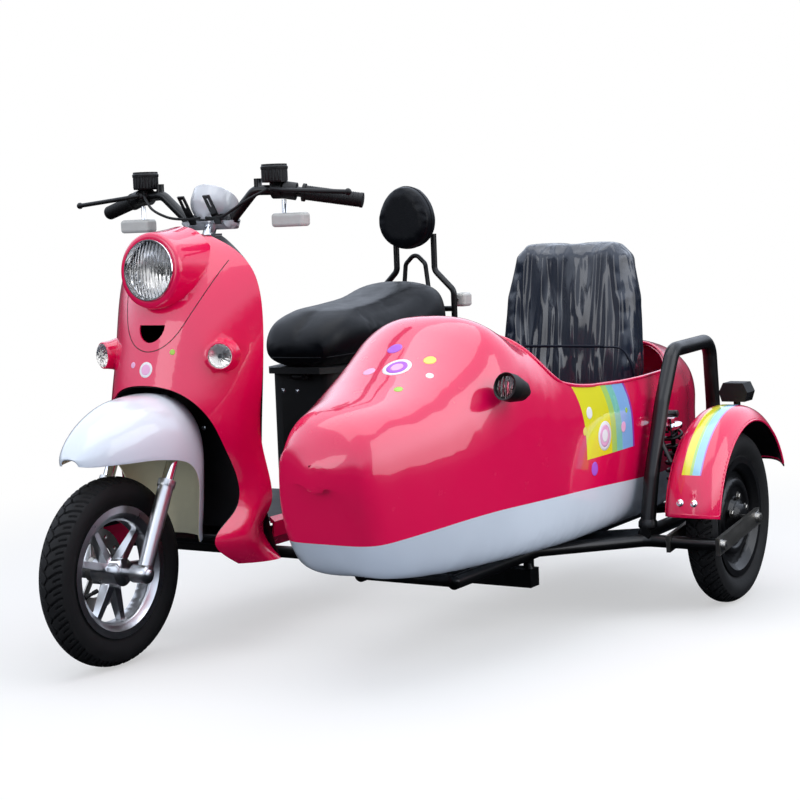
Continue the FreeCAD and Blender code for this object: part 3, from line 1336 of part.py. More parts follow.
def seat_pad():
    wires = [smooth_loop(seat_outline(share, width, crown, SEAT_LOW_Z, 0))
             for share, width, crown in SEAT_SECTIONS]
    pad = Part.makeLoft(wires, True, False)
    return pad.cut(box(-SEAT_HALF_W * 2, SEAT_HALF_W * 2, 0, SEAT_REAR_Y * 2, 0, SEAT_LOW_Z + GAP * 3))


def seat_pan():
    """Flat pan under the pad with the two ears and the pin of its hinge."""
    length = SEAT_REAR_Y - SEAT_FRONT_Y
    side = [V(SEAT_HALF_W * width - CUT, SEAT_FRONT_Y + length * share, SEAT_PAN_Z)
            for share, width, crown in SEAT_SECTIONS]
    far = [V(-p.x, p.y, p.z) for p in reversed(side)]
    pan = polygon_face(side + far).extrude(AXIS_Z * (SEAT_LOW_Z + GAP * 2 - SEAT_PAN_Z))
    inner = HINGE_BRACKET_HALF_W + GAP * 5
    ear = box(inner, inner + HINGE_EAR_W, SEAT_HINGE_Y - HINGE_PIN_R * 1.5, SEAT_HINGE_Y + HINGE_PIN_R * 1.5,
              SEAT_HINGE_Z - HINGE_PIN_R * 1.5, SEAT_PAN_Z + GAP * 2)
    reach = inner + HINGE_EAR_W + HINGE_PIN_R
    pin = rod(V(-reach, SEAT_HINGE_Y, SEAT_HINGE_Z), V(reach, SEAT_HINGE_Y, SEAT_HINGE_Z), HINGE_PIN_R)
    return fuse([pan, ear, mirrored(ear), pin])


# Handlebar

def top_yoke(extra):
    """Yoke square to the stem, which carries the handlebar's feet; extra thickens its upper side."""
    yoke = box(-TOP_YOKE_HALF_W, TOP_YOKE_HALF_W, -TOP_YOKE_D / 2, TOP_YOKE_D / 2, 0, TOP_YOKE_T + extra)
    yoke = yoke.makeFillet(TOP_YOKE_D * 0.4, [e for e in yoke.Edges if is_upright(e)])
    yoke.rotate(ORIGIN, AXIS_X, -RAKE)
    yoke.translate(V(0, axis_y(TOP_YOKE_Z), TOP_YOKE_Z))
    return yoke


def handlebar():
    """V-shaped bar from the top plate, with clamps and the two slotted tabs."""
    side = bent_tube([V(BAR_FOOT_X, BAR_FOOT_Y, BAR_FOOT_Z),
                      V(BAR_TOP_X, BAR_TOP_Y, BAR_TOP_Z), V(BAR_GRIP_X, BAR_GRIP_Y, BAR_GRIP_Z),
                      V(BAR_END_X, BAR_END_Y, BAR_END_Z)], BAR_R, BAR_BEND_R)
    rise = (V(BAR_TOP_X, BAR_TOP_Y, BAR_TOP_Z) - V(BAR_FOOT_X, BAR_FOOT_Y, BAR_FOOT_Z)).normalize()
    foot = V(BAR_FOOT_X, BAR_FOOT_Y, BAR_FOOT_Z)
    clamp = rod(foot - rise * (CLAMP_R * 0.2), foot + rise * CLAMP_R, CLAMP_R)
    tab = slotted_tab()
    boss = rod(V(BOSS_X, boss_y(), BAR_TOP_Z), V(BOSS_X, boss_y(), BAR_TOP_Z + BAR_R + BOSS_DEPTH),
               BOSS_HOLE_R * 2.2)
    hole = rod(V(BOSS_X, boss_y(), BAR_TOP_Z + BAR_R), V(BOSS_X, boss_y(), BAR_TOP_Z + BAR_R + BOSS_DEPTH + CUT),
               BOSS_HOLE_R)
    half = fuse([side, clamp, tab, boss]).cut(hole)
    socket = rod(V(0, axis_y(YOKE_Z), YOKE_Z), V(0, axis_y(STEM_TOP_Z), STEM_TOP_Z), STEM_R + GAP)
    return fuse([top_yoke(0), half, mirrored(half)]).cut(socket)


def slotted_tab():
    """Slotted strip that leans forward from the yoke."""
    low = V(0, TAB_FOOT_Y, BAR_FOOT_Z)
    lean = V(0, TAB_Y, TAB_Z) - low
    tab = box(-TAB_W, TAB_W, -TAB_T, 0, 0, lean.Length)
    tab = tab.cut(box(-TAB_W * 0.35, TAB_W * 0.35, -CUT, CUT, lean.Length - TAB_W * 3.4, lean.Length - TAB_W * 0.8))
    tab.rotate(ORIGIN, AXIS_X, math.degrees(math.atan2(-lean.y, lean.z)))
    tab.translate(low + AXIS_X * TAB_X)
    return tab


def boss_y():
    """Place of the mirror boss along y, on the bar's short level run."""
    share = (BOSS_X - BAR_TOP_X) / (BAR_GRIP_X - BAR_TOP_X)
    return BAR_TOP_Y + (BAR_GRIP_Y - BAR_TOP_Y) * share


def grips():
    """Two rubber grips on the bar's ends."""
    start = V(BAR_GRIP_X, BAR_GRIP_Y, BAR_GRIP_Z)
    end = V(BAR_END_X, BAR_END_Y, BAR_END_Z)
    along = (end - start).normalize()
    length = (end - start).Length
    inner = start + along * (length * 0.24)
    sleeve = rod(inner, end + along * BAR_R * 0.4, GRIP_R)
    flange = rod(inner, inner + along * BAR_R * 0.5, GRIP_FLANGE_R)
    hollow = rod(inner - along * CUT, end + along * GAP, BAR_R + GAP)
    grip = fuse([sleeve, flange]).cut(hollow)
    return both_sides(grip)


def hand_controls():
    """Switch housings, levers and round reservoirs on both sides."""
    bar = V(BAR_GRIP_X, BAR_GRIP_Y, BAR_GRIP_Z)
    along = (V(BAR_END_X, BAR_END_Y, BAR_END_Z) - bar).normalize()
    inner = V(BAR_TOP_X, BAR_TOP_Y, BAR_TOP_Z)
    run = (bar - inner).normalize()
    house = rod(bar - run * BAR_R * 2.2, bar, BAR_R * 1.75)
    house2 = rod(bar, bar + along * BAR_R * 2.6, BAR_R * 1.75)
    cup = rod(V(RESERVOIR_X, RESERVOIR_Y, BAR_GRIP_Z), V(RESERVOIR_X, RESERVOIR_Y, RESERVOIR_LOW_Z), RESERVOIR_R * 0.42)
    lid = rod(V(RESERVOIR_X, RESERVOIR_Y, RESERVOIR_LOW_Z), V(RESERVOIR_X, RESERVOIR_Y, RESERVOIR_TOP_Z),
              RESERVOIR_R)
    perch = rod(V(LEVER_PIVOT_X, BAR_GRIP_Y, BAR_GRIP_Z), V(LEVER_PIVOT_X, LEVER_PIVOT_Y, LEVER_PIVOT_Z),
                LEVER_R * 1.8)
    lever = bent_tube([V(LEVER_PIVOT_X, LEVER_PIVOT_Y, LEVER_PIVOT_Z),
                       V(LEVER_PIVOT_X + CUT * 4, LEVER_PIVOT_Y - CUT, LEVER_PIVOT_Z - LEVER_R),
                       V(LEVER_TIP_X, LEVER_TIP_Y, LEVER_TIP_Z)], LEVER_R, CUT * 4)
    ball = Part.makeSphere(LEVER_R * 1.5, V(LEVER_TIP_X, LEVER_TIP_Y, LEVER_TIP_Z))
    hollow = bent_tube([inner, bar, V(BAR_END_X, BAR_END_Y, BAR_END_Z)], BAR_R + GAP, BAR_BEND_R)
    half = fuse([house, house2, cup, lid, perch, lever, ball]).cut(hollow)
    return both_sides(half)


def bar_lamps():
    """Small box lamps on stems below the bar."""
    body = box(BAR_LAMP_X - BAR_LAMP_LENGTH / 2, BAR_LAMP_X + BAR_LAMP_LENGTH / 2, BAR_LAMP_Y - BAR_LAMP_D / 2,
               BAR_LAMP_Y + BAR_LAMP_D / 2, BAR_LAMP_Z - BAR_LAMP_H / 2, BAR_LAMP_Z + BAR_LAMP_H / 2)
    body = body.makeFillet(BAR_LAMP_H * 0.25, body.Edges)
    top = V(BAR_GRIP_X, BAR_GRIP_Y, BAR_GRIP_Z)
    stem = rod(V(BAR_GRIP_X, BAR_LAMP_Y, BAR_LAMP_Z), top - AXIS_Z * (BAR_R * 1.75 + GAP * 5), LEVER_R)
    return both_sides(fuse([body, stem]))


def speedometer():
    """Chrome bowl with its bracket on the top plate."""
    centre = V(0, SPEEDO_Y, SPEEDO_Z)
    look = V(0, sin(SPEEDO_TILT), cos(SPEEDO_TILT))
    r = SPEEDO_R
    wall = SPEEDO_WALL
    outline = [(r * 0.42, r - wall * 2), (r * 0.42, r - wall), (r * 0.3, r), (r * 0.05, r), (-r * 0.3, r * 0.9),
               (-r * 0.62, r * 0.66), (-r * 0.8, r * 0.3), (-r * 0.85, 0), (r * 0.3, 0), (r * 0.3, r - wall * 2)]
    bowl = spun(outline, centre, look, AXIS_X)
    foot = rod(V(0, SPEEDO_FOOT_Y, SPEEDO_FOOT_Z), centre - look * (r * 0.6), r * 0.28)
    return max(fuse([bowl, foot]).cut(top_yoke(GAP)).Solids, key=lambda piece: piece.Volume)


def control_cables():
    """Cables from the hand controls to the top plate."""
    lever = V(LEVER_PIVOT_X, LEVER_PIVOT_Y, LEVER_PIVOT_Z)
    yoke = V(0, BAR_FOOT_Y, TOP_YOKE_Z)
    cable = bent_tube([lever + V(*step) for step in CABLE_FROM_LEVER] + [yoke + V(*step) for step in CABLE_AT_YOKE],
                      CABLE_R, CABLE_BEND_R)
    return both_sides(cable)


# Sidecar

def body_section(along, width, top, low, inset):
    """Closed section of the sidecar body: round above its waist, fuller below."""
    nose = inset * BODY_NOSE_SHARE
    y = BODY_FRONT_Y + nose + (BODY_REAR_Y - BODY_FRONT_Y - nose - inset) * along
    half = BODY_HALF_W * width - inset
    rise = (BODY_TOP_Z - BODY_WAIST_Z) * top - inset
    drop = (BODY_WAIST_Z - BODY_LOW_Z) * low - inset
    points = []
    for angle in range(0, 360, 15):
        c = cos(angle)
        s = sin(angle)
        power = 2 / (BODY_UPPER_POWER if s >= 0 else BODY_LOWER_POWER)
        height = rise if s >= 0 else drop
        points.append(V(BODY_X + half * math.copysign(abs(c) ** power, c), y,
                        BODY_WAIST_Z + height * math.copysign(abs(s) ** power, s)))
    return smooth_loop(points)


def body_loft(inset):
    """The body's outside, or its inside where the inset is the wall."""
    return Part.makeLoft([body_section(*section, inset) for section in BODY_SECTION_SHARES], True, False)


def block_above(line, ceiling):
    """Block across the body over a line seen from the side, given as places along it and heights."""
    low = [V(BODY_X - BODY_HALF_W * 1.5, y, z) for y, z in line]
    last = V(low[-1].x, low[-1].y, ceiling)
    first = V(low[0].x, low[0].y, ceiling)
    wire = Part.Wire([smooth_edge(low), Part.makeLine(low[-1], last), Part.makeLine(last, first),
                      Part.makeLine(first, low[0])])
    return Part.Face(wire).extrude(V(BODY_HALF_W * 3, 0, 0))


def cockpit_block():
    """What the cockpit's opening takes out of the shell."""
    return block_above(COCKPIT_EDGE, COCKPIT_CEILING_Z)


def sidecar_body():
    """Upper shell and white hull, parted along the seam."""
    shell = body_loft(0).cut(body_loft(BODY_WALL)).cut(cockpit_block())
    above = block_above(BODY_SEAM, BODY_TOP_Z + BODY_HALF_W)
    upper = shell.common(above)
    lower = shell.cut(above)
    plinth = box(BODY_X - PLINTH_HALF_W, BODY_X + PLINTH_HALF_W, PLINTH_FRONT_Y, PLINTH_REAR_Y,
                 BODY_LOW_Z + BODY_WALL / 2, BODY_SEAM_Z - GAP * 10)
    inside = plinth.common(body_loft(BODY_WALL / 2))
    return upper, fuse([lower, inside])


def sidecar_cushion():
    """Plain closed solid of the seat cushion."""
    pad = box(BODY_X - CUSHION_HALF_W, BODY_X + CUSHION_HALF_W, CUSHION_FRONT_Y, CUSHION_REAR_Y,
              BODY_SEAM_Z - GAP * 9, BODY_SEAM_Z + CUSHION_T)
    return pad.makeFillet(CUSHION_T * 0.22, pad.Edges)


def sidecar_backrest():
    """Tapered seat back with a rounded top."""
    low_z = SEATBACK_LOW_Z
    outline = [V(-SEATBACK_LOW_HALF_W * 0.93, 0, 0), V(SEATBACK_LOW_HALF_W * 0.93, 0, 0),
               V(SEATBACK_LOW_HALF_W, 0, (SEATBACK_TOP_Z - low_z) * 0.45),
               V(SEATBACK_LOW_HALF_W * 0.94, 0, (SEATBACK_TOP_Z - low_z) * 0.75),
               V(SEATBACK_TOP_HALF_W, 0, (SEATBACK_TOP_Z - low_z) * 0.94),
               V(SEATBACK_TOP_HALF_W * 0.78, 0, SEATBACK_TOP_Z - low_z),
               V(-SEATBACK_TOP_HALF_W * 0.78, 0, SEATBACK_TOP_Z - low_z),
               V(-SEATBACK_TOP_HALF_W, 0, (SEATBACK_TOP_Z - low_z) * 0.94),
               V(-SEATBACK_LOW_HALF_W * 0.94, 0, (SEATBACK_TOP_Z - low_z) * 0.75),
               V(-SEATBACK_LOW_HALF_W, 0, (SEATBACK_TOP_Z - low_z) * 0.45)]
    back = polygon_face(outline).extrude(V(0, SEATBACK_T, 0))
    back = back.makeFillet(SEATBACK_T * 0.28, back.Edges)
    back.rotate(ORIGIN, AXIS_X, -SEATBACK_LEAN)
    back.translate(V(SEATBACK_X, SEATBACK_Y - SEATBACK_T * 0.5, low_z))
    return back


def hull_z(x):
    """Height of the hull's underside at a place across it."""
    share = abs(x - BODY_X) / BODY_HALF_W
    drop = BODY_WAIST_Z - BODY_LOW_Z
    return BODY_WAIST_Z - drop * (1 - share ** BODY_LOWER_POWER) ** (1 / BODY_LOWER_POWER)


def sidecar_frame():
    """Tubes under the body, struts to the scooter, side rail with gusset and the wheel's pivot bar."""
    tubes = []
    for x in (SUB_INNER_X, SUB_OUTER_X):
        tubes.append(rod(V(x, SUB_FRONT_Y, SUB_Z), V(x, SUB_REAR_Y, SUB_Z), SUB_TUBE_R))
    for y in (SUB_FRONT_Y + SUB_TUBE_R, SUB_REAR_Y - SUB_TUBE_R):
        tubes.append(rod(V(SUB_INNER_X, y, SUB_Z), V(SUB_OUTER_X, y, SUB_Z), STRUT_R))
    for y in (STRUT_FRONT_Y, STRUT_MID_Y):
        tubes.append(bent_tube([V(STRUT_END_X, y, STRUT_Z), V(STRUT_BEND_X, y, STRUT_Z), V(STRUT_LOW_X, y, SUB_Z),
                                V(SUB_OUTER_X, y, SUB_Z)], STRUT_R, TUBE_BEND_R))
    tubes.append(rod(V(SIDE_RAIL_X, SIDE_RAIL_FRONT_Y, SIDE_RAIL_Z), V(SIDE_RAIL_X, SUB_REAR_Y, SIDE_RAIL_Z), SUB_TUBE_R))
    tubes.append(rod(V(SUB_OUTER_X, SUB_REAR_Y - SUB_TUBE_R, SUB_Z),
                     V(SIDE_RAIL_X, SUB_REAR_Y - SUB_TUBE_R, SIDE_RAIL_Z), STRUT_R))
    tubes.append(bent_tube([V(SUB_OUTER_X, PIVOT_BAR_FRONT_Y, PIVOT_BAR_Z),
                            V(SIDE_RAIL_X, PIVOT_BAR_Y, PIVOT_BAR_Z),
                            V(ARM_OUTER_X, PIVOT_BAR_Y, PIVOT_BAR_Z)], PIVOT_BAR_R, PIVOT_BAR_BEND_R))
    hull = body_loft(0)
    hull.translate(V(0, 0, -GAP))
    for x in (SUB_INNER_X, SUB_OUTER_X):
        farthest = x - PAD_HALF_W if x < BODY_X else x + PAD_HALF_W
        for y in PAD_PLACES_Y:
            tubes.append(box(x - PAD_HALF_W, x + PAD_HALF_W, y - PAD_HALF_L, y + PAD_HALF_L, SUB_Z,
                             hull_z(farthest) + GAP).cut(hull))
        tubes.append(rod(V(x, BEAM_Y, BEAM_LOW_Z + BEAM_W / 2), V(x, BEAM_Y, SUB_Z), STRUT_R * 0.9))
    tubes.append(box(SUB_INNER_X - BEAM_REACH, SUB_OUTER_X + BEAM_REACH, BEAM_Y - BEAM_W / 2, BEAM_Y + BEAM_W / 2,
                     BEAM_LOW_Z, BEAM_LOW_Z + BEAM_W))
    gusset = polygon_face([V(SUB_OUTER_X, GUSSET_FRONT_Y, SUB_Z), V(SIDE_RAIL_X, PIVOT_BAR_Y, SIDE_RAIL_Z),
                           V(SIDE_RAIL_X, GUSSET_REAR_Y, SIDE_RAIL_Z), V(SUB_OUTER_X, GUSSET_REAR_Y, SUB_Z)])
    tubes.append(gusset.extrude(V(0, 0, -GUSSET_T)))
    return fuse(tubes)


def sidecar_hoop():
    """Tall hoop beside the cockpit, from the side rail and back to it."""
    points = [V(SIDE_RAIL_X, y, z) for y, z in HOOP_PATH]
    points[0] = points[0] + AXIS_Z * (SUB_TUBE_R + HOOP_R * 0.24)
    points[-1] = points[-1] + AXIS_Z * (SUB_TUBE_R + GAP)
    hoop = bent_tube(points, HOOP_R, HOOP_BEND_R)
    stays = []
    for y, z, target in HOOP_STAYS:
        end = V(SIDECAR_WHEEL_X - SIDE_FENDER_HALF_W, SIDECAR_WHEEL_Y - cos(target) * SIDE_FENDER_LIP_R,
                TYRE_R + sin(target) * SIDE_FENDER_LIP_R)
        stays.append(rod(V(SIDE_RAIL_X, y, z), end - AXIS_X * (STAY_T * 0.6), STAY_T))
    bracket = rod(V(SIDE_RAIL_X, SIDE_SPRING_TOP_Y - SPRING_R * 2, SIDE_SPRING_TOP_Z),
                  V(SIDE_RAIL_X, SIDE_SPRING_TOP_Y, SIDE_SPRING_TOP_Z), DAMPER_R)
    pin = rod(V(SIDE_SPRING_X - DAMPER_R * 2, SIDE_SPRING_TOP_Y, SIDE_SPRING_TOP_Z),
              V(SIDE_SPRING_X + DAMPER_R * 2, SIDE_SPRING_TOP_Y, SIDE_SPRING_TOP_Z), DAMPER_R * 0.9)
    return fuse([hoop, bracket, pin] + stays)


def sidecar_swingarm():
    """Forked swing arm: flat outer and inner bars, pivot sleeve, axle and bolts."""
    parts = []
    pivot = V(0, PIVOT_BAR_Y, PIVOT_BAR_Z)
    axle = V(0, SIDECAR_WHEEL_Y, TYRE_R)
    along = (axle - pivot).normalize()
    up = V(0, -along.z, along.y)
    for x in (ARM_INNER_X, ARM_OUTER_X + GAP):
        corners = [pivot + up * ARM_H / 2 - along * ARM_H / 2, pivot - up * ARM_H / 2 - along * ARM_H / 2,
                   axle - up * ARM_H / 2 + along * ARM_H / 2, axle + up * ARM_H / 2 + along * ARM_H / 2]
        bar = polygon_face([p + AXIS_X * x for p in corners]).extrude(AXIS_X * ARM_T)
        bar = bar.cut(rod(V(x - CUT, PIVOT_BAR_Y, PIVOT_BAR_Z), V(x + ARM_T + CUT, PIVOT_BAR_Y, PIVOT_BAR_Z),
                          PIVOT_BAR_R + GAP)) if x == ARM_INNER_X else bar
        parts.append(bar)
    outer = ARM_OUTER_X + ARM_T
    parts.append(rod(V(ARM_INNER_X - ARM_BOLT_H, SIDECAR_WHEEL_Y, TYRE_R), V(outer + ARM_BOLT_H, SIDECAR_WHEEL_Y, TYRE_R),
                     AXLE_R))
    parts.append(rod(V(outer, SIDECAR_WHEEL_Y, TYRE_R), V(outer + ARM_BOLT_H, SIDECAR_WHEEL_Y, TYRE_R), ARM_BOLT_R))
    parts.append(rod(V(outer, PIVOT_BAR_Y, PIVOT_BAR_Z), V(outer + ARM_BOLT_H, PIVOT_BAR_Y, PIVOT_BAR_Z), ARM_BOLT_R))
    lug = V(SIDE_SPRING_X, SIDE_SPRING_LOW_Y, SIDE_SPRING_LOW_Z)
    parts.append(rod(lug - AXIS_X * DAMPER_R, V(ARM_INNER_X + ARM_T / 2, lug.y, lug.z), DAMPER_R * 0.9))
    return fuse(parts)


def sidecar_fender():
    return arc_shell(V(SIDECAR_WHEEL_X, SIDECAR_WHEEL_Y, TYRE_R), SIDE_FENDER_R, SIDE_FENDER_LIP_R,
                     SIDE_FENDER_HALF_W, SIDE_FENDER_WALL, SIDE_FENDER_FROM, SIDE_FENDER_TO)


def fender_marker():
    """Six-sided marker box on a foot at the rear of the fender's crown."""
    along = MARKER_Y - SIDECAR_WHEEL_Y
    floor_z = TYRE_R + math.sqrt(SIDE_FENDER_R ** 2 - along ** 2)
    low = floor_z + MARKER_H * 0.8
    half = MARKER_W / 2
    points = [V(-half, 0, MARKER_H * 0.5), V(-half * 0.7, 0, MARKER_H), V(half * 0.7, 0, MARKER_H),
              V(half, 0, MARKER_H * 0.5), V(half * 0.8, 0, 0), V(-half * 0.8, 0, 0)]
    hexagon = polygon_face(points).extrude(V(0, MARKER_D, 0))
    hexagon.translate(V(SIDECAR_WHEEL_X - MARKER_H * 0.6, MARKER_Y - MARKER_D / 2, low))
    foot = rod(V(SIDECAR_WHEEL_X - MARKER_H * 0.6, MARKER_Y, floor_z - SIDE_FENDER_WALL),
               V(SIDECAR_WHEEL_X - MARKER_H * 0.6, MARKER_Y, low + CUT), STAY_T * 1.6)
    fender = sidecar_fender()
    return max(fuse([hexagon, foot]).cut(fender).Solids, key=lambda piece: piece.Volume)


def spotlight():
    """Round lamp on the cowl: housing with a bowl, and its lens."""
    front = V(SPOT_X, SPOT_Y, SPOT_Z)
    look = V(sin(SPOT_TURN) * cos(SPOT_TILT), -cos(SPOT_TURN) * cos(SPOT_TILT), sin(SPOT_TILT))
    side = look.cross(AXIS_Z).normalize()
    wall = LENS_T
    r = SPOT_R
    outline = [(0, r - wall), (0, r), (-SPOT_DEPTH * 0.3, r), (-SPOT_DEPTH * 0.75, r * 0.72), (-SPOT_DEPTH, r * 0.3),
               (-SPOT_DEPTH, 0), (-SPOT_DEPTH * 0.5, 0), (-SPOT_DEPTH * 0.42, r * 0.45), (-wall * 2, r - wall * 1.5),
               (-wall * 2, r - wall)]
    housing = spun(outline, front, look, side)
    root = front - look * (SPOT_DEPTH * 0.7)
    stalk = rod(root, root - V(SPOT_R * 2, 0, SPOT_R * 0.5), SPOT_STALK_R)
    housing = fuse([housing, stalk]).cut(body_loft(0))
    housing = max(housing.Solids, key=lambda s: s.Volume)
    lens = spun([(-wall * 1.9, 0), (-wall * 1.9, r - wall - GAP), (-wall * 0.8, r - wall - GAP), (wall * 0.4, r * 0.5),
                 (wall * 0.8, 0)], front, look, side)
    return housing, lens


def build():
    """Every node's shape by its name."""
    nodes = wheels()
    nodes["fork_lowers"] = fork_lowers()
    nodes["fork_uppers"] = fork_uppers()
    nodes["front_fender"] = front_fender()
    nodes["leg_shield"] = leg_shield()
    nodes["shield_liner"] = Part.makeCompound(shield_liner())
    nodes["top_cover"] = top_cover()
    nodes["headlight_reflector"], nodes["headlight_lens"] = headlight()
    nodes["shield_lamps"] = shield_lamps()
    nodes["floorboard"] = floorboard()
    nodes["floor_skirts"] = floor_skirts()
    nodes["scooter_frame"] = scooter_frame()
    nodes["underseat_bucket"] = underseat_bucket()
    nodes["battery_block"] = battery_block()
    nodes["tail_cowl"] = tail_cowl()
    nodes["rear_fender"] = rear_fender()
    nodes["rear_lamps"] = Part.makeCompound(rear_lamps())
    nodes["backrest_frame"] = backrest_frame()
    nodes["backrest_pad"] = backrest_pad()
    nodes["rear_swingarm"] = rear_swingarm()
    nodes["shocks"] = Part.makeCompound(shocks())
    nodes["seat_pad"] = seat_pad()
    nodes["seat_pan"] = seat_pan()
    nodes["handlebar"] = handlebar()
    nodes["grips"] = grips()
    nodes["hand_controls"] = hand_controls()
    nodes["bar_lamps"] = bar_lamps()
    nodes["speedometer"] = speedometer()
    nodes["control_cables"] = control_cables()
    nodes["sidecar_upper"], nodes["sidecar_hull"] = sidecar_body()
    nodes["sidecar_cushion"] = sidecar_cushion()
    nodes["sidecar_backrest"] = sidecar_backrest()
    nodes["sidecar_frame"] = sidecar_frame()
    nodes["sidecar_hoop"] = sidecar_hoop()
    nodes["sidecar_swingarm"] = sidecar_swingarm()
    nodes["sidecar_fender"] = sidecar_fender()
    nodes["fender_marker"] = fender_marker()
    nodes["sidecar_spotlight"], nodes["spotlight_lens"] = spotlight()
    return nodes


def main():
    """Build, shift onto the bounding box's bottom centre and write each node."""
    nodes = build()
    whole = Part.makeCompound(list(nodes.values()))
    bounds = whole.optimalBoundingBox(False, False)
    shift = V(-bounds.Center.x, -bounds.Center.y, -bounds.ZMin)
    os.makedirs("parts", exist_ok=True)
    for name, shape in nodes.items():
        shape.translate(shift)
        shape.exportStep("parts/" + name + ".step")
        solids = len(shape.Solids)
        print(name, solids, "valid" if shape.isValid() else "NOT VALID", round(shape.Volume / 1000.0, 1))
    print("shift", round(shift.x, 3), round(shift.y, 3), round(shift.z, 3))
    print("size", round(bounds.XLength, 1), round(bounds.YLength, 1), round(bounds.ZLength, 1))


main()
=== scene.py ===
"""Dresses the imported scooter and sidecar: finishes, tyres, upholstery, lamps, springs, cables and the studio."""
from __future__ import annotations

import json
import logging
import math
from dataclasses import dataclass, field
from enum import Enum
from typing import Callable

import bmesh
import bpy
import numpy as np
from mathutils import Matrix, Vector
from mathutils.bvhtree import BVHTree

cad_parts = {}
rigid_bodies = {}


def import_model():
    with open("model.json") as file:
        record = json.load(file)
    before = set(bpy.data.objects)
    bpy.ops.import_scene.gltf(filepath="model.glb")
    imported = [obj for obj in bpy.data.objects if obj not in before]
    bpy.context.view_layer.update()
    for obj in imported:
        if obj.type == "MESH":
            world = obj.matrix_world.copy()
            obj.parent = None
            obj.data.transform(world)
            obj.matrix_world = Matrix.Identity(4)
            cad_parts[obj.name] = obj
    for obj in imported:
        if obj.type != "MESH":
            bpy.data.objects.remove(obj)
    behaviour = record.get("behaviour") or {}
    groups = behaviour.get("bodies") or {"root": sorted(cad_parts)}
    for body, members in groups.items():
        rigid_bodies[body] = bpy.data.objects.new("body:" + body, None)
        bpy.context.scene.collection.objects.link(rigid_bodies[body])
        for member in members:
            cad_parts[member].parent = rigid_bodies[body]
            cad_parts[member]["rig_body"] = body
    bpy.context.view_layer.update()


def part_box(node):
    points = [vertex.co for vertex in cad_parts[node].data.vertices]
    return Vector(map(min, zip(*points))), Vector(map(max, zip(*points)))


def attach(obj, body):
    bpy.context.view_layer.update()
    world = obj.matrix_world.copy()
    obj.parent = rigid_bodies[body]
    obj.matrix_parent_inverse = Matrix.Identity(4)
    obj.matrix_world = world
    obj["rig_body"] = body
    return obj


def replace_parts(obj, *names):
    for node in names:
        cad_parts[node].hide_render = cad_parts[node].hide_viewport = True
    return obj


log = logging.getLogger("sidecar scooter")

TAU = 2 * math.pi
X_AXIS, Z_AXIS = (1.0, 0.0, 0.0), (0.0, 0.0, 1.0)
SIDES = ((1, "left"), (-1, "right"))

Thing = bpy.types.Object
Socket = bpy.types.NodeSocket
Point = tuple[float, float, float]
FaceTest = Callable[[np.ndarray, np.ndarray], np.ndarray]


# Numbers and colours

def linear(code: str) -> tuple[float, float, float, float]:
    """Turn six hex digits of sRGB, such as "E0114F", into the opaque linear colour that a shader takes.

    Args:
        code: the six digits.

    Returns:
        Red, green, blue and an alpha of one.
    """
    values = np.array([int(code[i:i + 2], 16) / 255 for i in (0, 2, 4)])
    values = np.where(values <= 0.04045, values / 12.92, ((values + 0.055) / 1.055) ** 2.4)
    return float(values[0]), float(values[1]), float(values[2]), 1.0


def unit(vector: np.ndarray | tuple) -> np.ndarray:
    """Vector of length one with the same direction."""
    values = np.asarray(vector, float)
    return values / np.linalg.norm(values)


def square_to(along: np.ndarray) -> tuple[np.ndarray, np.ndarray]:
    """Two unit vectors square to a unit vector and to each other."""
    side = unit(np.cross(along, Z_AXIS if abs(along[2]) < 0.9 else X_AXIS))
    return side, np.cross(along, side)


def spoke(side: np.ndarray, up: np.ndarray, angle: np.ndarray | float) -> np.ndarray:
    """Unit vector turned from one square vector to the other: side * cos + up * sin."""
    return side * np.cos(angle) + up * np.sin(angle)


def read(items: bpy.types.bpy_prop_collection, name: str, width: int = 3, kind: type = float) -> np.ndarray:
    """One attribute of all items of a mesh: a row each, or a plain list where the width is one.

    Args:
        items: points, faces, corners or normals of a mesh.
        name: the attribute.
        width: how many values each item has.
        kind: float or int.

    Returns:
        The values.
    """
    values = np.zeros(len(items) * width, kind)
    items.foreach_get(name, values)
    return values.reshape(-1, width) if width > 1 else values


@dataclass
class Ground:
    """The frame shared with the solids: millimetres about the front axle's foot, turned to metres."""

    shift: np.ndarray = field(default_factory=lambda: np.zeros(3))

    def settle(self) -> None:
        """Read the shift off the front tyre, whose centre stands over the origin."""
        low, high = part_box("front_tyre")
        self.shift = np.array([-(low[0] + high[0]) / 2, -(low[1] + high[1]) / 2, 0.0]) * 1000

    def metres(self, points: np.ndarray | tuple | list) -> np.ndarray:
        """Turn millimetre points into metres in the model's frame."""
        return (np.asarray(points, float) - self.shift) / 1000

    def millimetres(self, points: np.ndarray) -> np.ndarray:
        """Turn points in the model's frame back into millimetres."""
        return np.asarray(points, float) * 1000 + self.shift


GROUND = Ground()


# Shader helpers

def per_mm(size_mm: float) -> float:
    """Scale of a texture on metres whose features repeat every so many millimetres."""
    return 1000.0 / size_mm


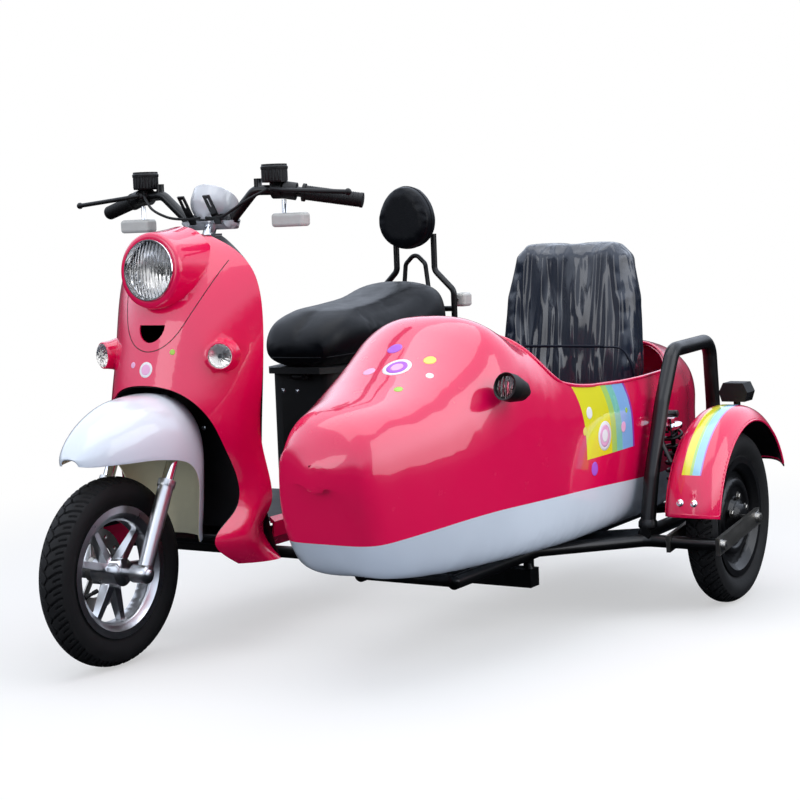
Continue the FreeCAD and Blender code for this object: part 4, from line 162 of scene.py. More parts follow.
class Nodes:
    """Node tree of a material or world, with short ways to add what the finishes are made of."""

    def __init__(self, tree: bpy.types.NodeTree) -> None:
        """Start with an empty tree."""
        self.tree = tree
        tree.nodes.clear()

    def add(self, kind: str, *, settings: dict | None = None, places: dict | None = None,
            **named: object) -> bpy.types.Node:
        """Add one shader node with its settings and its links.

        Args:
            kind: Blender's name of the node type, without ShaderNode in front.
            settings: properties to set on the node.
            places: values or sockets by the input's number.
            named: values or sockets by the input's name, with spaces written as underscores.

        Returns:
            The new node.
        """
        node = self.tree.nodes.new("ShaderNode" + kind)
        for name, value in (settings or {}).items():
            setattr(node, name, value)
        for key, value in {**(places or {}), **{name.replace("_", " "): v for name, v in named.items()}}.items():
            if isinstance(value, Socket):
                self.tree.links.new(value, node.inputs[key])
            else:
                node.inputs[key].default_value = value
        return node

    def math(self, operation: str, *values: Socket | float) -> Socket:
        """Number worked out from one to three others."""
        return self.add("Math", settings={"operation": operation}, places=dict(enumerate(values))).outputs[0]

    def between(self, value: Socket, low_mm: float, high_mm: float) -> Socket:
        """One where a length in metres lies between two in millimetres, else zero."""
        return self.math("MULTIPLY", self.math("GREATER_THAN", value, low_mm / 1000),
                         self.math("LESS_THAN", value, high_mm / 1000))

    def blend(self, share: Socket, first: Socket | tuple, second: Socket | tuple) -> Socket:
        """Colour between two."""
        return self.add("Mix", settings={"data_type": "RGBA"}, places={0: share, 6: first, 7: second}).outputs[2]

    def noise(self, coords: Socket, size_mm: float, detail: float, **more: float) -> Socket:
        """Cloudy value from 0 to 1 with features of a real size."""
        return self.add("TexNoise", Vector=coords, Scale=per_mm(size_mm), Detail=detail, **more).outputs[0]

    def spread(self, value: Socket, low: float, high: float, **more: float) -> Socket:
        """Value stretched over another range."""
        return self.add("MapRange", Value=value, To_Min=low, To_Max=high, **more).outputs[0]

    def bump(self, height: Socket, depth_mm: float) -> Socket:
        """Normal of a relief whose height from 0 to 1 stands for a real depth."""
        return self.add("Bump", Strength=1.0, Distance=depth_mm / 1000, Height=height).outputs[0]

    def principled(self, **inputs: object) -> Socket:
        """Shader for most surfaces."""
        return self.add("BsdfPrincipled", **inputs).outputs[0]

    def mixed(self, share: Socket, first: Socket, second: Socket) -> Socket:
        """Shader between two."""
        return self.add("MixShader", places={0: share, 1: first, 2: second}).outputs[0]


def material_of(name: str, shader: Callable[[Nodes, Socket], Socket]) -> bpy.types.Material:
    """Make a material from a function that gets its nodes and coordinates in metres and gives its shader.

    Args:
        name: the material's name.
        shader: makes the shader from nodes and coordinates.

    Returns:
        The material.
    """
    material = bpy.data.materials.new(name)
    material.use_nodes = True
    nodes = Nodes(material.node_tree)
    coords = nodes.add("TexCoord").outputs["Object"]
    nodes.add("OutputMaterial", Surface=shader(nodes, coords))
    return material


@dataclass(frozen=True)
class Coating:
    """What every finish has: its name, colour and roughness. Each kind of finish adds its shader."""

    name: str
    colour: str
    roughness: float = 0.3

    def shade(self, share: float, lift: float = 0.0) -> tuple[float, ...]:
        """The finish's colour made darker or paler."""
        return tuple(min(1.0, v * share + lift) for v in linear(self.colour)[:3]) + (1.0,)


@dataclass(frozen=True)
class Paint(Coating):
    """Sprayed gloss enamel under a clear coat: deep colour with a sharp reflection over faint orange peel."""

    roughness: float = 0.24
    coat: float = 1.0
    peel_mm: float = 0.012

    def base(self, nodes: Nodes, coords: Socket) -> Socket:
        """Colour of the paint, with a slight unevenness that keeps it from looking flat.

        Args:
            nodes: the material's nodes.
            coords: coordinates in metres.

        Returns:
            The colour.
        """
        return nodes.blend(nodes.noise(coords, size_mm=160, detail=2.0), self.shade(0.93), linear(self.colour))

    def shader(self, nodes: Nodes, coords: Socket) -> Socket:
        """Colour, dust, orange peel in both layers and the clear coat.

        Args:
            nodes: the material's nodes.
            coords: coordinates in metres.

        Returns:
            The shader.
        """
        normal = nodes.bump(nodes.noise(coords, size_mm=3.5, detail=1.0), self.peel_mm)
        dust = nodes.noise(coords, size_mm=45, detail=4.0)
        rough = nodes.spread(dust, self.roughness * 0.8, self.roughness * 1.3)
        return nodes.principled(Base_Color=self.base(nodes, coords), Roughness=rough, Normal=normal, Coat_Normal=normal,
                                Coat_Weight=self.coat, Coat_Roughness=0.03, Specular_IOR_Level=0.25, IOR=1.5)


@dataclass(frozen=True)
class StripedPaint(Paint):
    """Enamel with a band of flat pastel stripes under the coat, across one axis of the piece."""

    axis: Point = (0.0, 1.0, 0.0)
    centre_mm: Point = (0.0, 0.0, 0.0)
    stripes: tuple[tuple[float, str], ...] = ()
    low_mm: float = -1e4
    high_mm: float = 1e4
    bend: tuple[float, float] = (0.0, 0.0)

    def base(self, nodes: Nodes, coords: Socket) -> Socket:
        """Plain paint, with each stripe laid over it where the distance along the axis is inside it.

        Args:
            nodes: the material's nodes.
            coords: coordinates in metres.

        Returns:
            The colour.
        """
        colour = super().base(nodes, coords)
        middle = tuple(GROUND.metres(self.centre_mm))
        moved = nodes.add("VectorMath", settings={"operation": "SUBTRACT"}, places={0: coords, 1: middle}).outputs[0]
        straight = nodes.add("VectorMath", settings={"operation": "DOT_PRODUCT"}, places={0: moved, 1: self.axis})
        height = nodes.add("SeparateXYZ", Vector=coords).outputs[2]
        bow = nodes.math("POWER", nodes.math("SUBTRACT", height, self.bend[0] / 1000), 2.0)
        along = nodes.math("MULTIPLY_ADD", bow, self.bend[1] * 1000, straight.outputs["Value"])
        inside = nodes.between(height, self.low_mm, self.high_mm)
        for (start, code), (end, _) in zip(self.stripes, self.stripes[1:]):
            mask = nodes.math("MULTIPLY", nodes.between(along, start, end), inside)
            colour = nodes.blend(mask, colour, linear(code))
        return colour


@dataclass(frozen=True)
class Moulded(Coating):
    """Injection-moulded plastic or rubber: fine grain in the mould, dull where dust lies."""

    roughness: float = 0.5
    grain_mm: float = 1.2
    relief_mm: float = 0.06
    worn: str | None = None

    def shader(self, nodes: Nodes, coords: Socket) -> Socket:
        """Colour with dust, cloudy roughness and the mould's grain.

        Args:
            nodes: the material's nodes.
            coords: coordinates in metres.

        Returns:
            The shader.
        """
        grain = nodes.add("TexVoronoi", Vector=coords, Scale=per_mm(self.grain_mm)).outputs[0]
        cloud = nodes.noise(coords, size_mm=60, detail=5.0, Roughness=0.6)
        paler = linear(self.worn) if self.worn else self.shade(1.12, 0.001)
        dust = nodes.spread(cloud, 0.0, 1.0, From_Min=0.45, From_Max=0.8)
        rough = nodes.spread(cloud, self.roughness * 0.85, min(1.0, self.roughness * 1.25))
        return nodes.principled(Base_Color=nodes.blend(dust, linear(self.colour), paler), Roughness=rough, IOR=1.5,
                                Specular_IOR_Level=0.32, Normal=nodes.bump(grain, self.relief_mm))


@dataclass(frozen=True)
class Metal(Coating):
    """Bare or plated metal: cast, turned or chromed, with fine scratches that break up the reflection."""

    cast_mm: float = 0.0
    scratch: float = 0.25
    pit_mm: float = 2.2

    def shader(self, nodes: Nodes, coords: Socket) -> Socket:
        """Cloudy colour and roughness, and the pits of a casting.

        Args:
            nodes: the material's nodes.
            coords: coordinates in metres.

        Returns:
            The shader.
        """
        cloud = nodes.noise(coords, size_mm=35, detail=6.0)
        rough = nodes.spread(cloud, self.roughness * (1 - self.scratch), self.roughness * (1 + self.scratch))
        colour = nodes.blend(cloud, self.shade(0.86), linear(self.colour))
        inputs = dict(Base_Color=colour, Metallic=1.0, Roughness=rough)
        if self.cast_mm:
            inputs["Normal"] = nodes.bump(nodes.noise(coords, size_mm=self.pit_mm, detail=3.0), self.cast_mm)
        return nodes.principled(**inputs)


@dataclass(frozen=True)
class Vinyl(Coating):
    """Leather-grained upholstery vinyl: shallow pebble grain, satin, with a soft sheen where it is stretched."""

    pebble_mm: float = 2.0
    relief_mm: float = 0.18
    film: float = 0.0
    fold_mm: float = 30.0

    def shader(self, nodes: Nodes, coords: Socket) -> Socket:
        """Pebbles and creases, and over them a film whose folds hang down, where the finish has one.

        Args:
            nodes: the material's nodes.
            coords: coordinates in metres.

        Returns:
            The shader.
        """
        pebbles = nodes.add("TexVoronoi", settings={"feature": "SMOOTH_F1"}, Vector=coords,
                            Scale=per_mm(self.pebble_mm)).outputs[0]
        creases = nodes.noise(coords, size_mm=28, detail=5.0)
        height = nodes.math("MULTIPLY_ADD", creases, 1.4, pebbles)
        rough = nodes.spread(creases, self.roughness * 0.8, self.roughness * 1.3)
        inputs = dict(Base_Color=linear(self.colour), Roughness=rough, IOR=1.5, Sheen_Weight=0.04, Sheen_Roughness=0.4,
                      Specular_IOR_Level=0.16, Normal=nodes.bump(height, self.relief_mm))
        if self.film:
            stretched = nodes.add("Mapping", Vector=coords, Scale=(1.0, 1.0, 0.09)).outputs[0]
            folds = nodes.noise(stretched, size_mm=36, detail=1.2, Distortion=0.3)
            inputs.update(Coat_Weight=self.film, Coat_Roughness=0.1, Coat_IOR=1.5,
                          Coat_Normal=nodes.bump(folds, self.fold_mm))
        return nodes.principled(**inputs)


@dataclass(frozen=True)
class Clear(Coating):
    """Clear moulded plastic or glass: nearly colourless, with waviness that bends what lies behind it."""

    colour: str = "FFFFFF"
    roughness: float = 0.02
    wave_mm: float = 9.0
    relief_mm: float = 0.1
    flute_mm: float = 0.0

    def shader(self, nodes: Nodes, coords: Socket) -> Socket:
        """Glass that casts no shadow, wavy or fluted.

        Args:
            nodes: the material's nodes.
            coords: coordinates in metres.

        Returns:
            The shader.
        """
        if self.flute_mm:
            waves = nodes.add("TexWave", settings={"bands_direction": "X", "wave_profile": "SIN"}, Vector=coords,
                              Scale=TAU / 20 * per_mm(self.flute_mm)).outputs[0]
        else:
            waves = nodes.noise(coords, size_mm=self.wave_mm, detail=1.0)
        glass = nodes.principled(Base_Color=linear(self.colour), Roughness=self.roughness, IOR=1.45,
                                 Transmission_Weight=1.0, Normal=nodes.bump(waves, self.relief_mm))
        clear = nodes.add("BsdfTransparent", Color=linear(self.colour)).outputs[0]
        return nodes.mixed(nodes.add("LightPath").outputs["Is Shadow Ray"], glass, clear)


def sticker_vinyl(name: str, colour: str) -> Moulded:
    """Smooth, shiny sticker."""
    return Moulded(name + " sticker vinyl", colour, roughness=0.25, relief_mm=0.005)


class Finish(Enum):
    """Every finish on the vehicle, by what the real surface is."""

    CRIMSON = Paint("crimson enamel", "EC0450")
    BANDED = StripedPaint("crimson enamel with pastel band", "EC0450", centre_mm=(575.0, 0.0, 0.0),
                          stripes=((604.0, "F2EA20"), (727.0, "B4DE6E"), (752.0, "84D2BE"), (782.0, "8CBCF2"),
                                   (838.0, "A23AB4"), (847.0, "EC0450")),
                          low_mm=379.0, high_mm=541.0, bend=(385.0, 0.0016))
    FENDER_BAND = StripedPaint("crimson enamel with narrow band", "EC0450", axis=X_AXIS,
                               stripes=((928.0, "F1EA2C"), (947.0, "B4E27C"), (953.0, "9ED9F4"), (970.0, "B77BE0"),
                                        (973.0, "EC0450")), low_mm=322.0)
    # Cream for the white fender's inside faces: painted shade with a warm reflection.
    PAINTED_WARM_SHADE = Moulded("fender inside with painted warm shade", "E6DFBE", relief_mm=0.1)
    # The white is tinted blue: painted sky light on the gelcoat.
    WHITE = Paint("white gelcoat", "EAF2FB", roughness=0.3)
    BLACK_PAINT = Paint("black powder coat", "070708", roughness=0.42, coat=0.25, peel_mm=0.03)
    SILVER_PAINT = Metal("silver painted alloy", "C9CACC", roughness=0.33, cast_mm=0.03)
    CAST = Metal("cast aluminium", "D3D4D6", cast_mm=0.05)
    CHROME = Metal("chrome plate", "E8E9EC", roughness=0.07, scratch=0.4)
    # Pale paint where the real part is chrome: painted reflection of the white surroundings.
    BOWL = Paint("pale paint for chrome with painted reflection", "D2D5D9", roughness=0.25)
    STEEL = Metal("zinc plated steel", "9E9B95", roughness=0.38, cast_mm=0.02)
    ABS = Moulded("black moulded plastic", "0A0A0B")
    GREY_ABS = Moulded("grey floor plastic", "2C2D2F", roughness=0.65, relief_mm=0.1)
    RUBBER = Moulded("black rubber", "09090A", roughness=0.6, grain_mm=0.9)
    TYRE = Moulded("tyre rubber", "0E0E0F", roughness=0.72, grain_mm=1.6, relief_mm=0.08, worn="1A1919")
    # Black vinyl tinted blue: painted sky reflection.
    VINYL = Vinyl("black seat vinyl", "05070C", roughness=0.38)
    NAVY = Vinyl("navy seat vinyl", "081020", roughness=0.35)
    WRAPPED = Vinyl("navy vinyl in clear film", "0A1628", film=1.0)
    LENS = Clear("clear lens plastic")
    FLUTED = Clear("fluted headlamp glass", relief_mm=1.3, flute_mm=9.0)
    REFLECTOR = Metal("faceted reflector", "F8F9FB", roughness=0.24, cast_mm=1.5, scratch=0.2, pit_mm=14.0)
    VIOLET_DOT = sticker_vinyl("violet", "B45BD9")
    ROSE_DOT = sticker_vinyl("rose", "F5B4DA")
    YELLOW_DOT = sticker_vinyl("yellow", "F2E36B")
    GREEN_DOT = sticker_vinyl("green", "A6D04A")
    WHITE_DOT = sticker_vinyl("white", "F7F3F5")
    SMOKE = Moulded("smoked bulb glass", "2A2E33", roughness=0.12, relief_mm=0.01)
    DIAL = Moulded("white dial card", "EDEDE8", roughness=0.6, relief_mm=0.01)
    PALE = Moulded("pale lamp plastic", "C9C9C4", roughness=0.25, relief_mm=0.02)

    def material(self) -> bpy.types.Material:
        """The finish's material, made once."""
        return bpy.data.materials.get(self.value.name) or material_of(self.value.name, self.value.shader)


# Mesh helpers

def place(name: str, data: bpy.types.ID) -> Thing:
    """Put data into a new object of the scene."""
    thing = bpy.data.objects.new(name, data)
    bpy.context.scene.collection.objects.link(thing)
    return thing


def mesh_of(name: str, points: np.ndarray, faces: list, material: bpy.types.Material, smooth: bool = True) -> Thing:
    """Put points in metres and faces, as rows of their numbers, into a new object at the origin.

    Args:
        name: the piece's name.
        points: n by 3, in metres.
        faces: rows of point numbers.
        material: what the piece is made of.
        smooth: whether its faces shade smoothly.

    Returns:
        The object, linked to the scene.
    """
    mesh = bpy.data.meshes.new(name)
    mesh.from_pydata(points.reshape(-1, 3).tolist(), [], faces)
    mesh.polygons.foreach_set("use_smooth", np.full(len(mesh.polygons), smooth))
    mesh.materials.append(material)
    mesh.update()
    return place(name, mesh)


def surface(name: str, points: np.ndarray, finish: Finish, wrap: tuple[bool, bool], caps: bool = False) -> Thing:
    """Closed piece from a grid of millimetre points.

    Args:
        name: the piece's name.
        points: rows by columns by 3.
        finish: what it is made of.
        wrap: whether the last row joins the first, and the last column the first.
        caps: whether the first and the last row are closed with a face each.

    Returns:
        The piece, with its faces turned outwards.
    """
    rows, columns = points.shape[:2]
    i = np.arange(rows if wrap[0] else rows - 1)
    j = np.arange(columns if wrap[1] else columns - 1)
    a, b = np.meshgrid(i, j, indexing="ij")
    c, d = (a + 1) % rows, (b + 1) % columns
    quads = np.stack([a * columns + b, a * columns + d, c * columns + d, c * columns + b], axis=-1)
    faces = quads.reshape(-1, 4).tolist()
    if caps:
        faces.append(list(range(columns))[::-1])
        faces.append(list(range((rows - 1) * columns, rows * columns)))
    return outward(mesh_of(name, GROUND.metres(points), faces, finish.material()))


def outward(thing: Thing) -> Thing:
    """Turn a closed mesh's faces outwards, judged by its signed volume.

    Args:
        thing: the piece.

    Returns:
        The same piece.
    """
    mesh = thing.data
    mesh.calc_loop_triangles()
    points = read(mesh.vertices, "co")
    corners = read(mesh.loop_triangles, "vertices", kind=int)
    a, b, c = (points[corners[:, k]] - points.mean(0) for k in range(3))
    if np.einsum("ij,ij->", a, np.cross(b, c)) < 0:
        mesh.flip_normals()
    return thing


def crisp(thing: Thing, degrees: float = 32.0) -> Thing:
    """Shade smooth except over edges sharper than an angle.

    Args:
        thing: the piece.
        degrees: the angle.

    Returns:
        The same piece.
    """
    with bpy.context.temp_override(object=thing, active_object=thing, selected_objects=[thing],
                                   selected_editable_objects=[thing]):
        bpy.ops.object.shade_smooth_by_angle(angle=math.radians(degrees))
    return thing


def merge(thing: Thing, distance_mm: float = 0.01) -> Thing:
    """Join doubled points, which closes seams and poles.

    Args:
        thing: the piece.
        distance_mm: how near points have to be.

    Returns:
        The same piece.
    """
    work = bmesh.new()
    work.from_mesh(thing.data)
    bmesh.ops.remove_doubles(work, verts=work.verts, dist=distance_mm / 1000)
    work.to_mesh(thing.data)
    work.free()
    thing.data.update()
    return thing


def ridden(thing: Thing, body: str) -> Thing:
    """Put a piece on a body and hand it back."""
    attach(thing, body)
    return thing


def lathe(name: str, outline: list[tuple[float, float]], centre: tuple | np.ndarray, axis: tuple | np.ndarray,
          finish: Finish, turns: int, body: str = "chassis", ripple: tuple[int, float] = (0, 0.0)) -> Thing:
    """Turned piece: a closed outline of (along the axis, radius) pairs goes once round the axis.

    Args:
        name: the piece's name.
        outline: pairs in millimetres, not repeated at the end.
        centre: where the axis passes, in millimetres.
        axis: the axis' direction.
        finish: what it is made of.
        turns: steps round the axis.
        body: the body that carries it.
        ripple: how many waves the radius has round the axis, and their height in millimetres.

    Returns:
        The piece.
    """
    along = unit(axis)
    angle = np.linspace(0, TAU, turns, endpoint=False)[None, :, None]
    far, radius = (np.array(outline)[:, k][:, None, None] for k in (0, 1))
    wave = ripple[1] * np.cos(ripple[0] * angle) * (radius > ripple[1] * 3)
    points = np.asarray(centre, float) + along * far + spoke(*square_to(along), angle) * (radius + wave)
    return ridden(crisp(merge(surface(name, points, finish, (True, True)))), body)


def smooth_path(points: list | np.ndarray, steps: int) -> np.ndarray:
    """Catmull-Rom curve through points, sampled evenly in its parameter.

    Args:
        points: the points to pass.
        steps: how many points to give.

    Returns:
        The curve's points.
    """
    p = np.asarray(points, float)
    p = np.vstack([2 * p[0] - p[1], p, 2 * p[-1] - p[-2]])
    t = np.linspace(0, len(p) - 3, steps)
    k = np.minimum(t.astype(int), len(p) - 4)
    u = (t - k)[:, None]
    a, b, c, d = (p[k + n] for n in range(4))
    return 0.5 * (2 * b + (c - a) * u + (2 * a - 5 * b + 4 * c - d) * u ** 2 + (3 * b - a - 3 * c + d) * u ** 3)


def frames_along(path: np.ndarray) -> tuple[np.ndarray, np.ndarray]:
    """Two unit vectors square to a path at each of its points, turned as little as possible on the way.

    Args:
        path: the path's points.

    Returns:
        Both vectors, a row each for every point.
    """
    tangent = np.gradient(path, axis=0)
    tangent /= np.linalg.norm(tangent, axis=1)[:, None]
    start = np.cross(tangent[0], Z_AXIS)
    if np.linalg.norm(start) < 0.1:
        start = np.cross(tangent[0], X_AXIS)
    sides = [unit(start)]
    for t in tangent[1:]:
        sides.append(unit(sides[-1] - t * np.dot(sides[-1], t)))
    side = np.array(sides)
    return side, np.cross(tangent, side)


def tube(name: str, path: np.ndarray, radius: float | np.ndarray, finish: Finish, body: str = "chassis",
         sides: int = 10, closed: bool = False) -> Thing:
    """Round section carried along a millimetre path: a rod, a coil, or piping and beads on a closed ring.

    Args:
        name: the piece's name.
        path: its centre line.
        radius: one for all or one per point.
        finish: what it is made of.
        body: the body that carries it.
        sides: steps round the section.
        closed: whether the path is a ring.

    Returns:
        The piece.
    """
    side, up = frames_along(path)
    angle = np.linspace(0, TAU, sides, endpoint=False)[None, :, None]
    r = np.broadcast_to(np.asarray(radius, float), (len(path),))[:, None, None]
    points = path[:, None] + spoke(side[:, None], up[:, None], angle) * r
    return ridden(surface(name, points, finish, (closed, True), caps=not closed), body)


def solid_copy(node: str, finish: Finish, degrees: float = 28.0) -> Thing:
    """Merged, smoothly shaded copy of a solid, which stands for it.

    Args:
        node: the solid's name.
        finish: what it is made of.
        degrees: the sharpest angle that is shaded smoothly.

    Returns:
        The copy.
    """
    source = bpy.data.objects[node]
    mesh = source.data.copy()
    mesh.materials.clear()
    mesh.materials.append(finish.material())
    thing = crisp(merge(place(node + "_skin", mesh)), degrees)
    shading = thing.modifiers.new("even shading", "WEIGHTED_NORMAL")
    shading.keep_sharp = True
    shading.weight = 70
    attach(thing, source["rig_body"])
    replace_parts(thing, node)
    return thing


def solid_copies(*rows: tuple) -> None:
    """Copies of several solids, each given as its node, its finish and its sharpest smooth angle if not 28."""
    for row in rows:
        solid_copy(*row)


def neighbour_sum(values: np.ndarray, pairs: np.ndarray) -> np.ndarray:
    """For every row, the sum of the rows that the pairs join it to.

    Args:
        values: one row per point or face.
        pairs: which rows are neighbours.

    Returns:
        The sums, a row each.
    """
    total = np.zeros_like(values)
    np.add.at(total, pairs[:, 0], values[pairs[:, 1]])
    np.add.at(total, pairs[:, 1], values[pairs[:, 0]])
    return total


@dataclass
class Easing:
    """Evens out a lofted shell: finer faces, dents smoothed at its front, and shading spread from face to face.

    The smoothing goes back and forth, which takes dents away and keeps the form's size.
    """

    front_mm: float = 420.0
    fade_mm: float = 160.0
    longest_mm: float = 24.0
    halvings: int = 3
    sharp: float = math.radians(38)
    back_and_forth: tuple[float, float] = (0.5, -0.53)
    rounds: int = 40
    spreads: int = 300
    alike: float = 0.72

    def ahead(self, points: np.ndarray) -> np.ndarray:
        """How strongly each point is smoothed, from none behind the front to full."""
        return np.clip((self.front_mm - GROUND.millimetres(points)[:, 1]) / self.fade_mm, 0, 1)

    def refine(self, thing: Thing) -> tuple[np.ndarray, np.ndarray, np.ndarray]:
        """Halve long edges; give the edges' point pairs, their bends and the pairs of faces beside smooth edges.

        Args:
            thing: the shell.

        Returns:
            Point pairs, bends and face pairs.
        """
        work = bmesh.new()
        work.from_mesh(thing.data)
        for _ in range(self.halvings):
            long = [e for e in work.edges if e.calc_length() > self.longest_mm / 1000]
            bmesh.ops.subdivide_edges(work, edges=long, cuts=1)
            bmesh.ops.triangulate(work, faces=work.faces)
        work.edges.ensure_lookup_table()
        bends = np.array([e.calc_face_angle(math.pi) for e in work.edges])
        pairs = np.array([[v.index for v in e.verts] for e in work.edges])
        work.faces.index_update()
        beside = np.array([[f.index for f in e.link_faces] for e, bend in zip(work.edges, bends)
                           if len(e.link_faces) == 2 and bend < self.sharp])
        work.to_mesh(thing.data)
        work.free()
        return pairs, bends, beside

    def flatten(self, mesh: bpy.types.Mesh, pairs: np.ndarray, bends: np.ndarray) -> None:
        """Take the dents out ahead of the front, with the points on sharp edges held.

        Args:
            mesh: the shell's mesh.
            pairs: the point pairs of its edges.
            bends: their bends.
        """
        points = read(mesh.vertices, "co")
        held = np.zeros(len(points), bool)
        held[pairs[bends > self.sharp].ravel()] = True
        weight = (self.ahead(points) * ~held)[:, None]
        degree = np.bincount(pairs.ravel(), minlength=len(points))[:, None]
        for share in self.back_and_forth * self.rounds:
            points = points + (neighbour_sum(points, pairs) / degree - points) * weight * share
        mesh.vertices.foreach_set("co", points.ravel())
        mesh.update()

    def shade_mesh(self, mesh: bpy.types.Mesh, beside: np.ndarray) -> None:
        """Spread the faces' normals, and give each corner the sum of those round its point that are alike.

        Args:
            mesh: the shell's mesh.
            beside: pairs of faces that shade into each other.
        """
        smooth = read(mesh.polygons, "normal") * read(mesh.polygons, "area", 1)[:, None]
        ahead = self.ahead(read(mesh.polygons, "center"))[:, None]
        for turn in range(self.spreads):
            step = (neighbour_sum(smooth, beside) / 3 - smooth) * 0.5
            smooth = smooth + step * (1.0 if turn < self.rounds else ahead)
        smooth /= np.maximum(np.linalg.norm(smooth, axis=1, keepdims=True), 1e-12)
        corners = read(mesh.loops, "vertex_index", 1, int)
        owner = np.repeat(np.arange(len(smooth)), 3)
        order = np.argsort(corners, kind="stable")
        starts = np.searchsorted(corners[order], np.arange(len(mesh.vertices) + 1))
        normals = np.zeros((len(corners), 3))
        for first, last in zip(starts, starts[1:]):
            mine = order[first:last]
            if len(mine):
                own = smooth[owner[mine]]
                like = own @ own.T > self.alike
                like[~own.any(1)] = True
                normals[mine] = (like[..., None] * own[None]).sum(1)
        normals /= np.maximum(np.linalg.norm(normals, axis=1, keepdims=True), 1e-9)
        mesh.polygons.foreach_set("use_smooth", np.ones(len(smooth), bool))
        mesh.normals_split_custom_set(normals.tolist())

    def ease(self, thing: Thing) -> Thing:
        """Refine, flatten and shade a shell's copy.

        Args:
            thing: the shell.

        Returns:
            The same shell.
        """
        thing.modifiers.clear()
        pairs, bends, beside = self.refine(thing)
        self.flatten(thing.data, pairs, bends)
        self.shade_mesh(thing.data, beside)
        return thing


def paint_faces(thing: Thing, finish: Finish, chosen: FaceTest) -> None:
    """Give a second finish to the faces that a test of their millimetre centres and their normals picks.

    Args:
        thing: the piece to paint.
        finish: the second finish.
        chosen: gives True where the finish goes.
    """
    mesh = thing.data
    mesh.materials.append(finish.material())
    picked = chosen(GROUND.millimetres(read(mesh.polygons, "center")), read(mesh.polygons, "normal"))
    slots = read(mesh.polygons, "material_index", 1, int)
    mesh.polygons.foreach_set("material_index", np.where(picked, len(mesh.materials) - 1, slots))
    mesh.update()


def facing(middle: tuple, axes: slice = slice(None), limit: float = 0.0) -> FaceTest:
    """Test for faces that look towards a point, measured over some of the axes."""
    centre = np.array(middle)
    return lambda at, out: ((at - centre)[:, axes] * out[:, axes]).sum(1) < limit


class Skin:
    """Surface of a finished piece, which other pieces are laid on by straight rays."""

    def __init__(self, thing: Thing) -> None:
        """Index the piece's faces."""
        self.tree = BVHTree.FromPolygons([v.co for v in thing.data.vertices],
                                         [tuple(p.vertices) for p in thing.data.polygons])

    def hit(self, origin: np.ndarray, direction: tuple | np.ndarray) -> np.ndarray | None:
        """First point that a ray meets, in millimetres, or nothing."""
        found = self.tree.ray_cast(Vector(GROUND.metres(origin)), Vector(direction).normalized())[0]
        return None if found is None else GROUND.millimetres(np.array(found))

    def nearest(self, near: tuple) -> tuple[np.ndarray, np.ndarray]:
        """Surface point nearest to a point, in millimetres, and its outward normal."""
        found, normal = self.tree.find_nearest(Vector(GROUND.metres(near)))[:2]
        return GROUND.millimetres(np.array(found)), np.array(normal)

    def trail(self, origins: np.ndarray, direction: tuple, lift: float = 0.0) -> np.ndarray:
        """Points where rays from several places meet the surface, lifted back along the ray."""
        found = [self.hit(origin, direction) for origin in origins]
        return np.array([p - unit(direction) * lift for p in found if p is not None])


def even(path: np.ndarray, steps: int, closed: bool = False, soften: int = 0) -> np.ndarray:
    """Path resampled at equal distances, with corners softened by averaging neighbours some times over.

    Args:
        path: the path's points.
        steps: how many points to give.
        closed: whether it is a ring.
        soften: how often to average.

    Returns:
        The new points.
    """
    p = np.vstack([path, path[:1]]) if closed else np.asarray(path, float)
    run = np.concatenate([[0.0], np.cumsum(np.linalg.norm(np.diff(p, axis=0), axis=1))])
    t = np.linspace(0, run[-1], steps, endpoint=not closed)
    out = np.stack([np.interp(t, run, p[:, k]) for k in range(3)], axis=1)
    for _ in range(soften):
        if closed:
            out = (np.roll(out, 1, axis=0) + out * 2 + np.roll(out, -1, axis=0)) / 4
        else:
            out[1:-1] = (out[:-2] + out[1:-1] * 2 + out[2:]) / 4
    return out


def girdle(skin: Skin, centre: tuple, normal: tuple, reach: float, steps: int) -> np.ndarray:
    """Ring where a plane through a centre cuts a rounded piece, found by rays shot inwards from all round.

    Args:
        skin: the piece's surface.
        centre: a point inside it.
        normal: the plane's normal.
        reach: how far out the rays start.
        steps: how many rays.

    Returns:
        The ring's points.
    """
    side, up = square_to(unit(normal))
    ring = []
    for a in np.linspace(0, TAU, steps, endpoint=False):
        out = spoke(side, up, a)
        point = skin.hit(np.asarray(centre) + out * reach, -out)
        if point is not None:
            ring.append(point)
    return even(np.array(ring), steps, closed=True, soften=2)


def bake(thing: Thing) -> None:
    """Put the result of the modifiers into the mesh.

    Args:
        thing: the piece.
    """
    shape = bpy.data.meshes.new_from_object(thing.evaluated_get(bpy.context.evaluated_depsgraph_get()))
    thing.modifiers.clear()
    thing.data = shape


def blown_up(thing: Thing, cap_mm: float, frames: int = 16) -> None:
    """Let simulated cloth swell under pressure, each point by no more than a limit.

    Args:
        thing: the pad.
        cap_mm: the furthest that a point may swell.
        frames: how long the cloth is simulated.
    """
    mesh = thing.data
    start = read(mesh.vertices, "co")
    air = thing.modifiers.new("air", "CLOTH")
    air.settings.use_pressure = True
    air.settings.uniform_pressure_force = 4.0
    air.settings.effector_weights.gravity = 0.0
    air.settings.tension_stiffness = 12.0
    air.settings.quality = 4
    air.point_cache.frame_start = 1
    air.point_cache.frame_end = frames
    for frame in range(1, frames + 1):
        bpy.context.scene.frame_set(frame)
        bpy.context.view_layer.update()
    blown = thing.evaluated_get(bpy.context.evaluated_depsgraph_get())
    step = read(blown.data.vertices, "co") - start
    far = np.linalg.norm(step, axis=1, keepdims=True)
    step *= np.minimum(1.0, cap_mm / 1000 / np.maximum(far, 1e-9))
    thing.modifiers.clear()
    bpy.context.scene.frame_set(1)
    mesh.vertices.foreach_set("co", (start + step).ravel())
    mesh.update()


